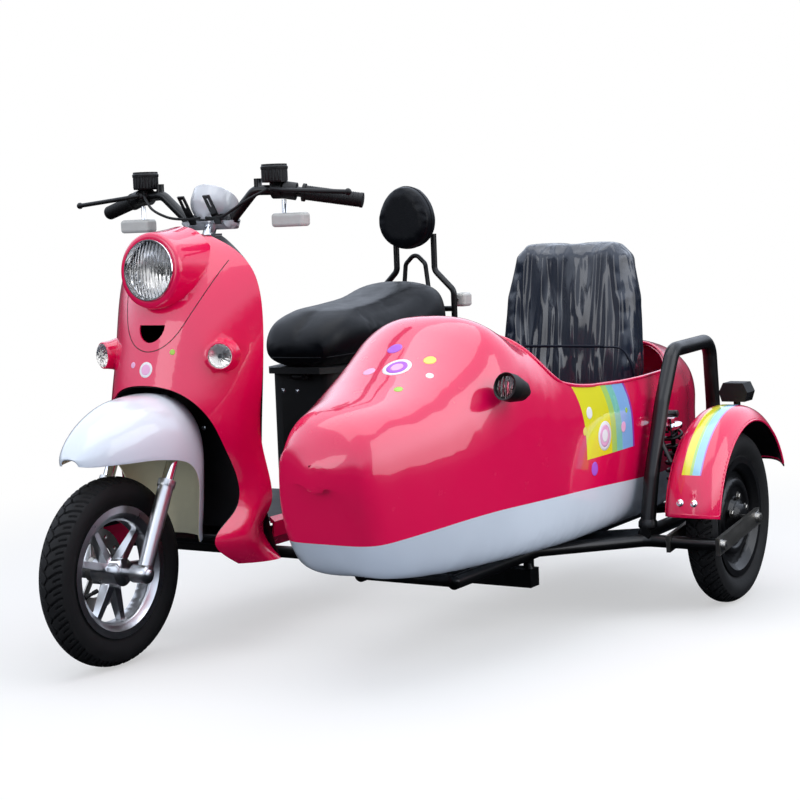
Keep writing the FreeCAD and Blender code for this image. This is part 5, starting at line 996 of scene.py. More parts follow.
def plumped(node: str, finish: Finish, voxel_mm: float, cap_mm: float) -> Thing:
    """Upholstered pad: the solid drawn in a little, remeshed and blown up by simulated cloth.

    Args:
        node: the pad's solid.
        finish: its cover.
        voxel_mm: size of the remeshed quads.
        cap_mm: the furthest that a point may swell.

    Returns:
        The pad.
    """
    thing = solid_copy(node, finish, 60)
    thing.modifiers.clear()
    grid = thing.modifiers.new("quads", "REMESH")
    grid.mode = "VOXEL"
    grid.voxel_size = voxel_mm / 1000
    bake(thing)
    mesh = thing.data
    drawn_in = read(mesh.vertices, "co") - read(mesh.vertex_normals, "vector") * cap_mm * 0.85 / 1000
    mesh.vertices.foreach_set("co", drawn_in.ravel())
    mesh.update()
    blown_up(thing, cap_mm)
    soft = thing.modifiers.new("even skin", "SMOOTH")
    soft.iterations = 6
    bake(thing)
    finer = thing.modifiers.new("finer", "SUBSURF")
    finer.levels = finer.render_levels = 1
    bake(thing)
    thing.data.polygons.foreach_set("use_smooth", np.ones(len(thing.data.polygons), bool))
    return thing


FILM_MM = 0.35
STICKER_RINGS = (0.001, 0.3, 0.55, 0.8, 1.0)
STICKER_STEPS = 40


def sticker(name: str, skin: Skin, near: tuple, radius: float, finish: Finish, body: str, layer: int) -> None:
    """Round sticker that follows the surface: a polar grid of rays shot along the nearest point's normal.

    Args:
        name: the sticker's name.
        skin: the surface it lies on.
        near: a point near its middle.
        radius: its radius.
        finish: its vinyl.
        body: the body that carries it.
        layer: how many layers of film high its face is.
    """
    middle, out = skin.nearest(near)
    side = unit(np.cross(out, Z_AXIS))
    up = np.cross(side, out)
    angle = np.linspace(0, TAU, STICKER_STEPS, endpoint=False)[:, None]
    rows, last = [], np.repeat(middle[None], STICKER_STEPS, axis=0)
    for share in STICKER_RINGS:
        found = [skin.hit(start, -out) for start in middle + out * 60.0 + spoke(side, up, angle) * radius * share]
        last = np.array([old if new is None else new for new, old in zip(found, last)])
        rows.append(last)
    face = np.array(rows)
    points = np.vstack([face + out * FILM_MM * layer, (face - out * 0.4)[::-1]])
    ridden(outward(merge(surface(name, points, finish, (True, True)), 0.05)), body)


def stickers(prefix: str, skin: Skin, body: str, rows: tuple) -> None:
    """Stickers given as x, y, z and radius in millimetres, finish, and which layer of film they are."""
    for k, (x, y, z, radius, finish, layer) in enumerate(rows):
        sticker(f"{prefix}_{k}", skin, (x, y, z), radius, finish, body, layer)


def bolt(name: str, centre: tuple, axis: tuple, radius: float, body: str = "chassis",
         finish: Finish = Finish.CHROME) -> None:
    """Domed hexagon bolt head with its washer: six flats over a round collar.

    Args:
        name: the head's name.
        centre: the middle of its seat.
        axis: where it points.
        radius: the radius over its corners.
        body: the body that carries it.
        finish: what it is made of.
    """
    high = radius * 0.9
    washer = [(-0.5, 0.0), (-0.5, radius * 1.45), (0.6, radius * 1.45), (0.9, radius * 1.35), (0.9, 0.0)]
    head = [(0.5, 0.0), (0.5, radius), (high * 0.8, radius), (high, radius * 0.8), (high * 1.1, 0.0)]
    lathe(name + "_washer", washer, centre, axis, finish, 28, body)
    lathe(name, head, centre, axis, finish, 6, body)


# The vehicle's sub-assemblies

@dataclass
class Tyre:
    """Moulded scooter tyre: round crown with slanted sipes, ribbed shoulder and plain sidewall."""

    node: str
    body: str
    centre: Point
    radius: float = 197.0
    bead: float = 127.6
    crown_half: float = 31.0
    crown_drop: float = 14.0
    crown_points: int = 57
    wall_foot: float = 138.6
    heel_x: float = 24.0
    toe_x: float = 17.0
    sipes: int = 44
    sipe_depth: float = 5.0
    steps: int = 720

    def outline(self) -> np.ndarray:
        """Closed section as (across, radius): crown arc, sidewalls, beads and the hollow inside.

        Returns:
            The section's points.
        """
        shoulder = self.radius - self.crown_drop
        a = np.linspace(-1, 1, self.crown_points)
        crown = np.stack([self.crown_half * a, self.radius - self.crown_drop * np.abs(a) ** 2.3], 1)
        b = np.linspace(0, 1, 16)[1:]
        wall_x = self.crown_half + 5.6 * np.sin(np.pi * np.minimum(b * 1.05, 1.0)) - 7.0 * b ** 2.2
        wall = np.stack([wall_x, shoulder - (shoulder - self.wall_foot) * b], 1)
        heel = np.array([[self.heel_x, 138.0], [self.heel_x, self.bead], [self.toe_x, self.bead]])
        c = np.linspace(1, -1, 15)
        arch = self.bead + (shoulder - self.bead) * np.sqrt(np.clip(1 - c ** 2, 0, 1))
        inside = np.stack([self.toe_x * c, arch], 1)[1:-1]
        left = np.vstack([wall, heel])[::-1] * (-1, 1)
        return np.vstack([crown, wall, heel, inside, left])

    def build(self) -> None:
        """Carry the section round the axle and press the sipes into the crown."""
        ring = self.outline()
        angle = np.linspace(0, TAU, self.steps, endpoint=False)[:, None]
        x, r = (np.broadcast_to(ring[:, k], (self.steps, len(ring))) for k in (0, 1))
        share = np.abs(x) / self.crown_half
        slant = np.where(x > 0, 0.0, 0.5) + share * 1.15 - 0.35 * share ** 2

        def cuts(offset: float, width: float, fade: float, low: float, high: float) -> np.ndarray:
            """Share of the full depth of slanted grooves, between two shares of the crown's half-width."""
            phase = np.abs((angle * self.sipes / TAU + slant + offset) % 1.0 - 0.5) * 2
            return np.clip((width - phase) / fade, 0, 1) * (share > low) * (share < high)

        zigzag = np.abs(x - 3.0 * np.sin(angle * self.sipes)) < 1.7
        grooves = np.maximum(cuts(0.0, 0.24, 0.10, 0.16, 0.97), cuts(0.5, 0.18, 0.09, 0.5, 0.9) * 0.8)
        on_crown = np.arange(len(ring)) < self.crown_points
        r = r - on_crown * self.sipe_depth * np.maximum(grooves, zigzag * 0.9)
        points = np.stack([x, -r * np.sin(angle), r * np.cos(angle)], -1) + self.centre
        thing = crisp(surface(self.node + "_moulded", points, Finish.TYRE, (True, True)), 40)
        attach(thing, self.body)
        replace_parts(thing, self.node)


@dataclass
class Wheels:
    """The three tyres and rims, with their valves and nuts."""

    front: Point = (0.0, 0.0, 197.0)
    rear: Point = (0.0, 1180.0, 197.0)
    sidecar: Point = (950.0, 1043.0, 197.0)
    lug_circle: float = 47.0
    valve_circle: float = 104.0

    def build(self) -> None:
        """Make the tyres and dress the rims, with five nuts on the sidecar's hub and a valve on the front rim."""
        for label, centre in (("front", self.front), ("rear", self.rear), ("sidecar", self.sidecar)):
            Tyre(label + "_tyre", label + "_wheel", centre).build()
        solid_copies(("front_rim", Finish.CAST), ("rear_rim", Finish.BLACK_PAINT), ("sidecar_rim", Finish.BLACK_PAINT),
                     ("brake_disc", Finish.STEEL))
        for k, a in enumerate(np.linspace(0, TAU, 5, endpoint=False)):
            out = np.array((22.0, self.lug_circle * math.sin(a), self.lug_circle * math.cos(a)))
            bolt(f"sidecar_lug_{k}", out + self.sidecar, X_AXIS, 7.0, "sidecar_wheel", Finish.STEEL)
        a = math.radians(110)
        foot = np.array((12.0, -self.valve_circle * math.sin(a), self.valve_circle * math.cos(a))) + self.front
        outline = [(0, 0), (0, 5.5), (6, 4.2), (20, 3.6), (20, 4.6), (31, 4.4), (32, 0)]
        lathe("valve", outline, foot, (0.35, math.sin(a), -math.cos(a)), Finish.RUBBER, 20, "front_wheel")


@dataclass
class Fork:
    """Fork legs, stem and the white fender with its stickers."""

    inside_centre: Point = (0.0, 95.0, 330.0)
    dots: tuple = ((4.0, -74.0, 484.0, 15.0, Finish.ROSE_DOT, 1),
                   (32.0, -84.0, 466.0, 8.0, Finish.VIOLET_DOT, 1),
                   (-10.0, -92.0, 466.0, 6.0, Finish.GREEN_DOT, 1),
                   (36.0, -56.0, 486.0, 5.0, Finish.ROSE_DOT, 1))

    def build(self) -> None:
        """Dress the fork and the fender, whose inside is painted cream as warm shade on white plastic."""
        solid_copies(("fork_lowers", Finish.SILVER_PAINT), ("fork_uppers", Finish.CHROME))
        fender = solid_copy("front_fender", Finish.WHITE, 50)
        stickers("fender_dot", Skin(fender), "steering", self.dots)
        # The inside faces are painted cream: painted shade with a warm reflection on the white fender.
        paint_faces(fender, Finish.PAINTED_WARM_SHADE, facing(self.inside_centre))


@dataclass
class Bodywork:
    """Leg shield, its liner and lamps, floor, tail and the painted panels of the scooter."""

    lamp: Point = (0.0, 177.0, 812.0)
    look: Point = (0.0, -0.99756, 0.06976)
    indicator: Point = (156.0, 202.0, 629.0)
    indicator_out: float = 10.2
    indicator_r: float = 26.6
    indicator_turn: float = math.radians(24)
    ribs: int = 16
    joint: tuple = ((0.0, 640.0), (38.0, 651.0), (67.0, 680.0), (89.0, 724.0), (106.0, 764.0), (119.0, 797.0),
                    (131.0, 828.0))
    dots: tuple = ((0.0, 140.0, 604.0, 17.0, Finish.WHITE_DOT, 1),
                   (0.0, 140.0, 604.0, 11.5, Finish.ROSE_DOT, 2),
                   (-38.0, 150.0, 612.0, 6.5, Finish.ROSE_DOT, 1),
                   (36.0, 150.0, 600.0, 7.0, Finish.WHITE_DOT, 1),
                   (60.0, 160.0, 640.0, 6.0, Finish.GREEN_DOT, 1))

    def build(self) -> None:
        """Dress the panels and lamps."""
        shield = solid_copy("leg_shield", Finish.CRIMSON, 30)
        solid_copies(("shield_liner", Finish.ABS, 40), ("top_cover", Finish.SILVER_PAINT),
                     ("floorboard", Finish.GREY_ABS), ("floor_skirts", Finish.CRIMSON),
                     ("tail_cowl", Finish.CRIMSON, 45), ("rear_fender", Finish.ABS, 45),
                     ("underseat_bucket", Finish.ABS), ("battery_block", Finish.ABS), ("rear_lamps", Finish.PALE))
        self.headlamp()
        self.indicators()
        skin = Skin(shield)
        self.panel_line(skin)
        stickers("shield_dot", skin, "chassis", self.dots)

    def headlamp(self) -> None:
        """Chrome ring and faceted bowl, the painted ring round it, the bulb with its cap and the fluted glass."""
        bowl = solid_copy("headlight_reflector", Finish.CHROME)
        at, look = np.array(self.lamp), np.array(self.look)
        paint_faces(bowl, Finish.REFLECTOR, lambda p, out: ((p - at) @ look < 1.0) & (out @ look > 0.05))
        solid_copy("headlight_lens", Finish.FLUTED, 60)
        pod = [(4.4, 67.2), (7.3, 67.4), (7.5, 70.5), (6.9, 74.2), (5.2, 77.6), (2.6, 79.9), (-2.0, 81.2),
               (-18.0, 83.4), (-38.0, 86.3), (-60.0, 90.4), (-80.0, 94.4), (-98.0, 98.6), (-98.0, 92.0),
               (-60.0, 82.0), (-10.0, 78.0), (1.0, 76.0), (4.0, 72.0)]
        cap = [(-40.0, 0.0), (-40.0, 12.0), (-30.0, 12.0), (-28.0, 8.0), (-14.0, 8.5), (-9.0, 7.0), (-6.0, 0.0)]
        lathe("lamp_pod", pod, at, look, Finish.CRIMSON, 96)
        lathe("headlamp_bulb", cap, at, look, Finish.SMOKE, 28)

    def indicators(self) -> None:
        """Each indicator: painted boss, bright dish, dark bulb and a clear ribbed dome."""
        r = self.indicator_r
        dish = [(-18.0, 0.0), (-18.0, r - 7.0), (-3.0, r - 4.0), (-0.8, r - 0.9), (-0.2, r - 0.9), (-0.2, r - 3.2),
                (-4.0, r - 5.0), (-13.0, 6.0), (-13.0, 0.0)]
        boss = [(-0.9, r - 0.8), (0.5, r - 0.6), (0.6, r + 1.0), (-0.2, r + 2.4), (-2.0, r + 3.0), (-9.0, r + 3.5),
                (-20.0, r + 5.0), (-32.0, r + 8.6), (-36.0, r + 10.0), (-36.0, r - 2.0)]
        bulb = [(-13.5, 0.0), (-13.5, 5.0), (-6.0, 6.0), (-1.0, 4.5), (1.5, 0.0)]
        for side, tag in SIDES:
            look = np.array((side * math.sin(self.indicator_turn), -math.cos(self.indicator_turn), 0.0))
            centre = np.array(self.indicator) * (side, 1.0, 1.0) + look * self.indicator_out
            lathe(f"indicator_boss_{tag}", boss, centre, look, Finish.CRIMSON, 64)
            lathe(f"indicator_dish_{tag}", dish, centre, look, Finish.REFLECTOR, 48)
            lathe(f"indicator_bulb_{tag}", bulb, centre, look, Finish.SMOKE, 24)
            self.ribbed_dome(f"indicator_dome_{tag}", centre, look)
        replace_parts(bpy.data.objects["indicator_dome_left"], "shield_lamps")

    def ribbed_dome(self, name: str, centre: np.ndarray, look: np.ndarray) -> None:
        """Flattened dome whose height waves with the angle: height = cap(radius) + ribs * radius share.

        Args:
            name: the dome's name.
            centre: the lamp's centre.
            look: where the lamp points.
        """
        share = np.array([0.0, 0.12, 0.3, 0.5, 0.68, 0.82, 0.92, 0.98, 1.0, 1.0, 0.9, 0.6, 0.3, 0.0])[:, None]
        high = np.array([10.5, 10.4, 9.9, 8.7, 7.0, 5.0, 2.9, 1.2, -1.0, -2.2, -2.2, -1.2, -0.4, 0.0])[:, None]
        angle = np.linspace(0, TAU, 96, endpoint=False)[None, :]
        front = (np.arange(len(share)) < 8)[:, None]
        rise = high + np.where(front, 0.7 * np.cos(self.ribs * angle) * share, 0.0)
        side = np.cross(look, Z_AXIS)
        out = spoke(side, np.cross(side, look), angle[..., None])
        points = centre + look * rise[..., None] + out * (share * self.indicator_r)[..., None]
        ridden(crisp(outward(merge(surface(name, points, Finish.LENS, (False, True)))), 50), "chassis")

    def panel_line(self, shield: Skin) -> None:
        """Dark joint that swings under the vent: a thin strip let into the shield's face.

        Args:
            shield: the leg shield's surface.
        """
        half = [(x, -200.0, z) for x, z in self.joint]
        line = smooth_path([(-x, y, z) for x, y, z in half[:0:-1]] + half, 90)
        path = even(shield.trail(line, (0.0, 1.0, 0.0), 0.05), 120, soften=2)
        tube("shield_joint", path, 0.9, Finish.ABS, sides=8)


@dataclass
class Chassis:
    """Frame tubes, swing arms and spring legs."""

    rear_low: Point = (114.0, 1143.9, 231.6)
    rear_high: Point = (114.0, 1101.6, 453.3)
    side_low: Point = (846.0, 1007.8, 222.1)
    side_high: Point = (846.0, 962.2, 429.9)
    spring_r: float = 21.0
    wire_r: float = 3.5
    spring_turns: float = 8.5
    fender_lean: float = math.radians(15)

    def build(self) -> None:
        """Dress the tubes and wind the springs."""
        for node in ("scooter_frame", "rear_swingarm", "backrest_frame", "sidecar_frame", "sidecar_hoop"):
            solid_copy(node, Finish.BLACK_PAINT)
        solid_copy("sidecar_swingarm", Finish.STEEL)
        mirror = (-1.0, 1.0, 1.0)
        low, high = np.array(self.rear_low), np.array(self.rear_high)
        self.leg("rear_left", low, high, Finish.BLACK_PAINT)
        self.leg("rear_right", low * mirror, high * mirror, Finish.BLACK_PAINT)
        self.leg("sidecar", np.array(self.side_low), np.array(self.side_high), Finish.CHROME)
        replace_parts(bpy.data.objects["damper_sidecar"], "shocks")
        self.fixings()

    def leg(self, tag: str, low: np.ndarray, high: np.ndarray, top: Finish) -> None:
        """Damper with its two spring seats, and the coil wound round it.

        Args:
            tag: which leg it is.
            low: its lower end.
            high: its upper end.
            top: what the upper spring seat is made of.
        """
        axis = high - low
        length = float(np.linalg.norm(axis))
        seat = self.spring_r + self.wire_r
        damper = [(0.0, 0.0), (0.0, 8.8), (13.0, 8.8), (15.0, seat), (21.0, seat), (22.0, 12.0), (length * 0.6, 12.0),
                  (length * 0.6 + 2.0, 5.5), (length - 46.0, 5.5), (length - 44.0, 12.5), (length - 44.0, 0.0)]
        cap = [(length - 44.0, 0.0), (length - 44.0, 13.0), (length - 24.0, 13.0), (length - 22.0, seat),
               (length - 15.0, seat), (length - 12.0, 9.0), (length, 8.8), (length, 0.0)]
        lathe(f"damper_{tag}", damper, low, axis, Finish.BLACK_PAINT, 28)
        lathe(f"spring_cap_{tag}", cap, low, axis, top, 28)
        along = axis / length
        side = unit(np.cross(along, X_AXIS))
        t = np.linspace(0, 1, 260)[:, None]
        start, end = 21.0 + self.wire_r, length - 22.0 - self.wire_r
        out = spoke(side, np.cross(along, side), TAU * self.spring_turns * t)
        path = low + along * (start + (end - start) * t) + out * self.spring_r
        tube(f"coil_{tag}", path, self.wire_r, Finish.BLACK_PAINT)

    def fixings(self) -> None:
        """Plated bolts on the swing arm, the bucket, the fender and the liner, and the welds at the hoop's feet."""
        back = (0.0, -1.0, 0.0)
        lean = (0.0, -math.cos(self.fender_lean), math.sin(self.fender_lean))
        for name, at, axis, radius in (("arm_pivot", (1017.5, 826.0, 171.0), X_AXIS, 9.0),
                                       ("arm_axle", (1017.5, 1043.0, 197.0), X_AXIS, 9.0),
                                       ("bucket_bolt_a", (-53.0, 716.0, 502.0), back, 4.0),
                                       ("bucket_bolt_b", (-12.0, 716.0, 502.0), back, 4.0),
                                       ("fender_bolt_a", (933.0, 795.9, 264.0), lean, 5.5),
                                       ("fender_bolt_b", (965.0, 795.9, 264.0), lean, 5.5),
                                       ("liner_bolt", (50.4, 268.0, 466.0), (0.25, -1.0, 0.0), 3.6)):
            bolt(name, at, axis, radius)
        weld = [(198.0, 0.0), (198.0, 19.0), (201.0, 21.5), (212.0, 21.0), (218.0, 17.5), (218.0, 0.0)]
        for name, y in (("hoop_foot_front", 834.0), ("hoop_foot_rear", 1240.0)):
            lathe(name, weld, (840.0, y, 0.0), Z_AXIS, Finish.BLACK_PAINT, 32)


@dataclass
class Controls:
    """Handlebar, grips, levers, speedometer, cables and the small lamps."""

    dial: Point = (0.0, 406.0, 949.0)
    dial_look: Point = (0.0, math.sin(math.radians(32)), math.cos(math.radians(32)))
    dial_r: float = 52.0
    post_foot: Point = (0.0, 404.0, 912.5)
    grip_from: Point = (196.0, 400.0, 974.0)
    grip_to: Point = (352.0, 468.0, 945.0)
    grip_share: tuple[float, float] = (0.245, 1.02)
    drum: Point = (179.0, 392.0, 0.0)
    cable_r: float = 0.003
    cable: tuple = ((173.0, 376.0, 977.0), (142.0, 348.0, 959.0), (112.0, 334.0, 938.0), (58.0, 346.0, 916.0),
                    (8.0, 366.0, 921.0))

    def build(self) -> None:
        """Dress the handlebar's pieces."""
        self.cables()
        bar = solid_copy("handlebar", Finish.BLACK_PAINT)
        # Faces below the bar near the stem get the bowl's pale paint: painted reflection of chrome.
        paint_faces(bar, Finish.BOWL,
                    lambda at, out: (at[:, 2] < 914.0) & (np.abs(at[:, 0]) < 71.5) & (at[:, 1] > 360.0))
        self.grips()
        solid_copy("hand_controls", Finish.ABS)
        lamps = solid_copy("bar_lamps", Finish.PALE)
        paint_faces(lamps, Finish.CHROME, lambda at, out: at[:, 2] > 925.0)
        self.drums()
        self.speedometer()

    def cables(self) -> None:
        """Two control cables that bow forward from the levers and dive behind the top plate."""
        for side, tag in SIDES:
            points = GROUND.metres(np.array(self.cable) * (side, 1.0, 1.0))
            curve = bpy.data.curves.new(f"cable_{tag}", "CURVE")
            curve.dimensions = "3D"
            spline = curve.splines.new("NURBS")
            spline.points.add(len(points) - 1)
            spline.points.foreach_set("co", np.hstack([points, np.ones((len(points), 1))]).ravel())
            spline.order_u = 3
            spline.use_endpoint_u = True
            curve.bevel_depth = self.cable_r
            curve.bevel_resolution = 4
            curve.resolution_u = 24
            curve.use_fill_caps = True
            curve.materials.append(Finish.RUBBER.material())
            thing = ridden(place(f"cable_{tag}", curve), "steering")
            flat = curve.copy()
            flat.bevel_depth = 0.0
            ghost = bpy.data.objects.new("ghost", flat)
            run = read(bpy.data.meshes.new_from_object(ghost).vertices, "co")
            bpy.data.objects.remove(ghost)
        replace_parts(bpy.data.objects["cable_left"], "control_cables")

    def grips(self) -> None:
        """Rubber grips: a sleeve whose radius waves along it, with a collar inside and a knob outside."""
        t = np.linspace(*self.grip_share, 150)
        share = (t - self.grip_share[0]) / (self.grip_share[1] - self.grip_share[0])
        radius = 15.8 + 0.55 * np.cos(share * 34 * TAU) * (share > 0.09) * (share < 0.93)
        radius = np.where(share < 0.05, 19.6, np.where(share > 0.95, 16.4, radius))
        radius[-1] = 13.0
        for side, tag in SIDES:
            a, b = (np.array(p) * (side, 1.0, 1.0) for p in (self.grip_from, self.grip_to))
            crisp(tube(f"grip_{tag}", a + (b - a) * t[:, None], radius, Finish.RUBBER, "steering", 28), 50)
        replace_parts(bpy.data.objects["grip_left"], "grips")

    def drums(self) -> None:
        """Lids and ribbed sleeves of the two round reservoirs."""
        lid = [(1019.0, 0.0), (1019.0, 29.6), (1024.0, 30.0), (1026.5, 28.0), (1027.5, 22.0), (1028.0, 0.0)]
        sleeve = [(994.0, 20.0), (994.0, 28.0), (1020.0, 28.0), (1020.0, 20.0)]
        for side, tag in SIDES:
            centre = np.array(self.drum) * (side, 1.0, 1.0)
            lathe(f"drum_lid_{tag}", lid, centre, Z_AXIS, Finish.ABS, 64, "steering")
            lathe(f"drum_ribs_{tag}", sleeve, centre, Z_AXIS, Finish.ABS, 144, "steering", (24, 0.8))

    def speedometer(self) -> None:
        """Bright bowl on its post, dial card with its marks, needle and glass."""
        r, at, look = self.dial_r, np.array(self.dial), np.array(self.dial_look)
        wall = [(r * 0.05 - r * 0.89 * s, r * math.sqrt(max(0.0, 1 - s ** 2.3))) for s in np.linspace(0, 1, 22)]
        bowl = [(r * 0.3, 0.0), (r * 0.3, r - 6.0), (r * 0.42, r - 6.0), (r * 0.45, r - 3.0), (r * 0.4, r),
                (r * 0.2, r)] + wall
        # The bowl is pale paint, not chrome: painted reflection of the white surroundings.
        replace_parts(lathe("speedometer_bowl", bowl, at, look, Finish.BOWL, 72, "steering"), "speedometer")
        post = np.array([self.post_foot, at - look * r * 0.6])
        crisp(tube("speedometer_post", post, 14.5, Finish.BOWL, "steering", 32))
        floor = r * 0.3 + 0.2
        card = [(floor, 0.0), (floor, r - 7.0), (floor + 0.8, r - 7.0), (floor + 0.8, 0.0)]
        glass = [(floor + 4.4, 0.0), (floor + 4.4, r - 6.6), (floor + 5.4, r - 6.6), (floor + 6.6, 0.0)]
        lathe("dial_card", card, at, look, Finish.DIAL, 48, "steering")
        lathe("dial_glass", glass, at, look, Finish.LENS, 48, "steering")
        top = at + look * (floor + 0.8)
        side = np.array(X_AXIS)
        up = np.cross(look, side)
        for k, a in enumerate(np.linspace(-2.2, 2.2, 9)):
            out = side * math.sin(a) - up * math.cos(a)
            path = np.array([top + out * (r - 18.0), top + out * (r - 10.0)])
            tube(f"dial_mark_{k}", path, 0.8, Finish.ABS, "steering", 6)
        path = np.array([top + look * 1.5 - side * 4.0, top + look * 1.5 + side * 26.0 + up * 20.0])
        tube("needle", path, 0.9, Finish.CRIMSON, "steering", 6)


@dataclass
class Upholstery:
    """Seat, backrest and the sidecar's cushions: simulated pads with piping."""

    lean: float = math.radians(7)

    def build(self) -> None:
        """Blow the pads up and sew their piping round them, where a plane cuts each pad."""
        solid_copy("seat_pan", Finish.ABS)
        seat = plumped("seat_pad", Finish.VINYL, 6.0, 7.0)
        back = plumped("backrest_pad", Finish.VINYL, 4.0, 4.0)
        cushion = plumped("sidecar_cushion", Finish.NAVY, 6.0, 8.0)
        rest = plumped("sidecar_backrest", Finish.WRAPPED, 6.0, 7.0)
        upright = (0.0, math.cos(self.lean), math.sin(self.lean))
        for name, pad, centre, normal, reach, steps, radius, finish, body in (
                ("seat_piping", seat, (0.0, 960.0, 592.0), (0.0, -0.03, 1.0), 500.0, 160, 2.2, Finish.VINYL, "seat"),
                ("backrest_piping", back, (0.0, 1237.0, 905.0), (0.0, 1.0, 0.0), 300.0, 120, 2.0, Finish.VINYL,
                 "chassis"),
                ("cushion_piping", cushion, (575.0, 790.0, 376.0), Z_AXIS, 500.0, 120, 2.4, Finish.NAVY, "chassis"),
                ("sidecar_back_piping", rest, (570.0, 990.0, 600.0), upright, 700.0, 160, 2.6, Finish.NAVY,
                 "chassis")):
            tube(name, girdle(Skin(pad), centre, normal, reach, steps), radius, finish, body, closed=True)


@dataclass
class Sidecar:
    """The sidecar's shell, fender, marker and spotlight."""

    middle: float = 575.0
    loft_axis_z: float = 430.0
    wheel: Point = (950.0, 1043.0, 197.0)
    fender_lip: float = 222.0
    fender_half: float = 62.4
    edge: tuple = ((456.0, 712.0), (464.0, 668.0), (474.0, 624.0), (490.0, 586.0), (520.0, 556.0), (570.0, 541.0),
                   (660.0, 532.0), (800.0, 527.0), (940.0, 526.0), (1060.0, 528.0), (1136.0, 548.0), (1186.0, 584.0),
                   (1206.0, 640.0))
    dots: tuple = ((596.0, 190.0, 608.0, 30.0, Finish.WHITE_DOT, 1),
                   (596.0, 190.0, 608.0, 22.0, Finish.VIOLET_DOT, 2),
                   (596.0, 190.0, 608.0, 13.0, Finish.ROSE_DOT, 3),
                   (540.0, 176.0, 600.0, 13.0, Finish.ROSE_DOT, 1),
                   (556.0, 250.0, 640.0, 16.0, Finish.VIOLET_DOT, 1),
                   (650.0, 226.0, 618.0, 13.0, Finish.YELLOW_DOT, 1),
                   (672.0, 186.0, 594.0, 8.0, Finish.WHITE_DOT, 1),
                   (640.0, 120.0, 574.0, 9.0, Finish.GREEN_DOT, 1),
                   (616.0, 272.0, 646.0, 7.0, Finish.WHITE_DOT, 1),
                   (840.0, 690.0, 420.0, 32.0, Finish.WHITE_DOT, 1),
                   (840.0, 690.0, 420.0, 24.0, Finish.ROSE_DOT, 2),
                   (840.0, 690.0, 420.0, 14.0, Finish.WHITE_DOT, 3),
                   (840.0, 620.0, 480.0, 13.0, Finish.WHITE_DOT, 1),
                   (840.0, 596.0, 440.0, 9.0, Finish.YELLOW_DOT, 1),
                   (840.0, 636.0, 356.0, 15.0, Finish.VIOLET_DOT, 1),
                   (840.0, 788.0, 428.0, 12.0, Finish.ROSE_DOT, 1),
                   (840.0, 806.0, 466.0, 6.0, Finish.GREEN_DOT, 1))

    def build(self) -> None:
        """Dress the shell and what it carries; the stripes stay off the shell's inside."""
        upper = Easing().ease(solid_copy("sidecar_upper", Finish.BANDED, 50))
        Easing().ease(solid_copy("sidecar_hull", Finish.WHITE, 50))
        paint_faces(upper, Finish.CRIMSON, facing((self.middle, 0.0, self.loft_axis_z), slice(None, None, 2)))
        fender = solid_copy("sidecar_fender", Finish.FENDER_BAND, 50)
        paint_faces(fender, Finish.BLACK_PAINT, facing(self.wheel, slice(1, None), -8.0))
        solid_copies(("fender_marker", Finish.ABS), ("sidecar_spotlight", Finish.ABS, 40),
                     ("spotlight_lens", Finish.FLUTED, 60))
        skin = Skin(upper)
        self.rim_bead(skin)
        stickers("shell_dot", skin, "chassis", self.dots)
        self.fender_bead(Skin(fender))

    def rim_bead(self, shell: Skin) -> None:
        """Rolled edge round the cockpit, where the opening's line meets the shell on both sides.

        Args:
            shell: the upper shell's surface.
        """
        line = smooth_path([(0.0, y, z) for y, z in self.edge], 140)
        side = shell.trail(line + (self.middle + 700.0, 0.0, 0.0), (-1.0, 0.0, 0.0))
        side = side[side[:, 0] > self.middle + 30.0]
        mirror = side * (-1.0, 1.0, 1.0) + (2 * self.middle, 0.0, 0.0)
        loops = []
        for end, bulge in ((side[-1], 9.0), (side[0], -5.0)):
            share = np.linspace(1, -1, 17)[1:-1]
            xs = self.middle + share * (end[0] - self.middle)
            above = np.stack([xs, end[1] + bulge * (1 - share ** 2), np.full(len(share), 1100.0)], axis=1)
            loops.append(shell.trail(above, (0.0, 0.0, -1.0)))
        ring = np.vstack([side, loops[0], mirror[::-1], loops[1][::-1]])
        tube("cockpit_bead", even(ring, 320, closed=True, soften=4), 4.2, Finish.CRIMSON, closed=True)

    def fender_bead(self, shell: Skin) -> None:
        """Rolled edge round the fender: along both lips and across both ends.

        Args:
            shell: the fender's surface.
        """
        hub, rows = np.array(self.wheel), []
        angles = np.radians(np.linspace(9.5, 154.5, 70))
        inner = self.fender_half - 3.0
        for side, order in ((1, angles), (-1, angles[::-1])):
            x = np.full(len(order), side * self.fender_half)
            rows.append(np.stack([x, -np.cos(order) * self.fender_lip, np.sin(order) * self.fender_lip], 1) + hub)
            across = np.linspace(side * inner, -side * inner, 25)
            ray = (0.0, -math.cos(order[-1]), math.sin(order[-1]))
            rows.append(shell.trail(hub + np.stack([across, across * 0, across * 0], 1), ray, -1.8))
        ring = even(np.vstack(rows), 300, closed=True, soften=2)
        tube("side_fender_bead", ring, 2.6, Finish.CRIMSON, closed=True)


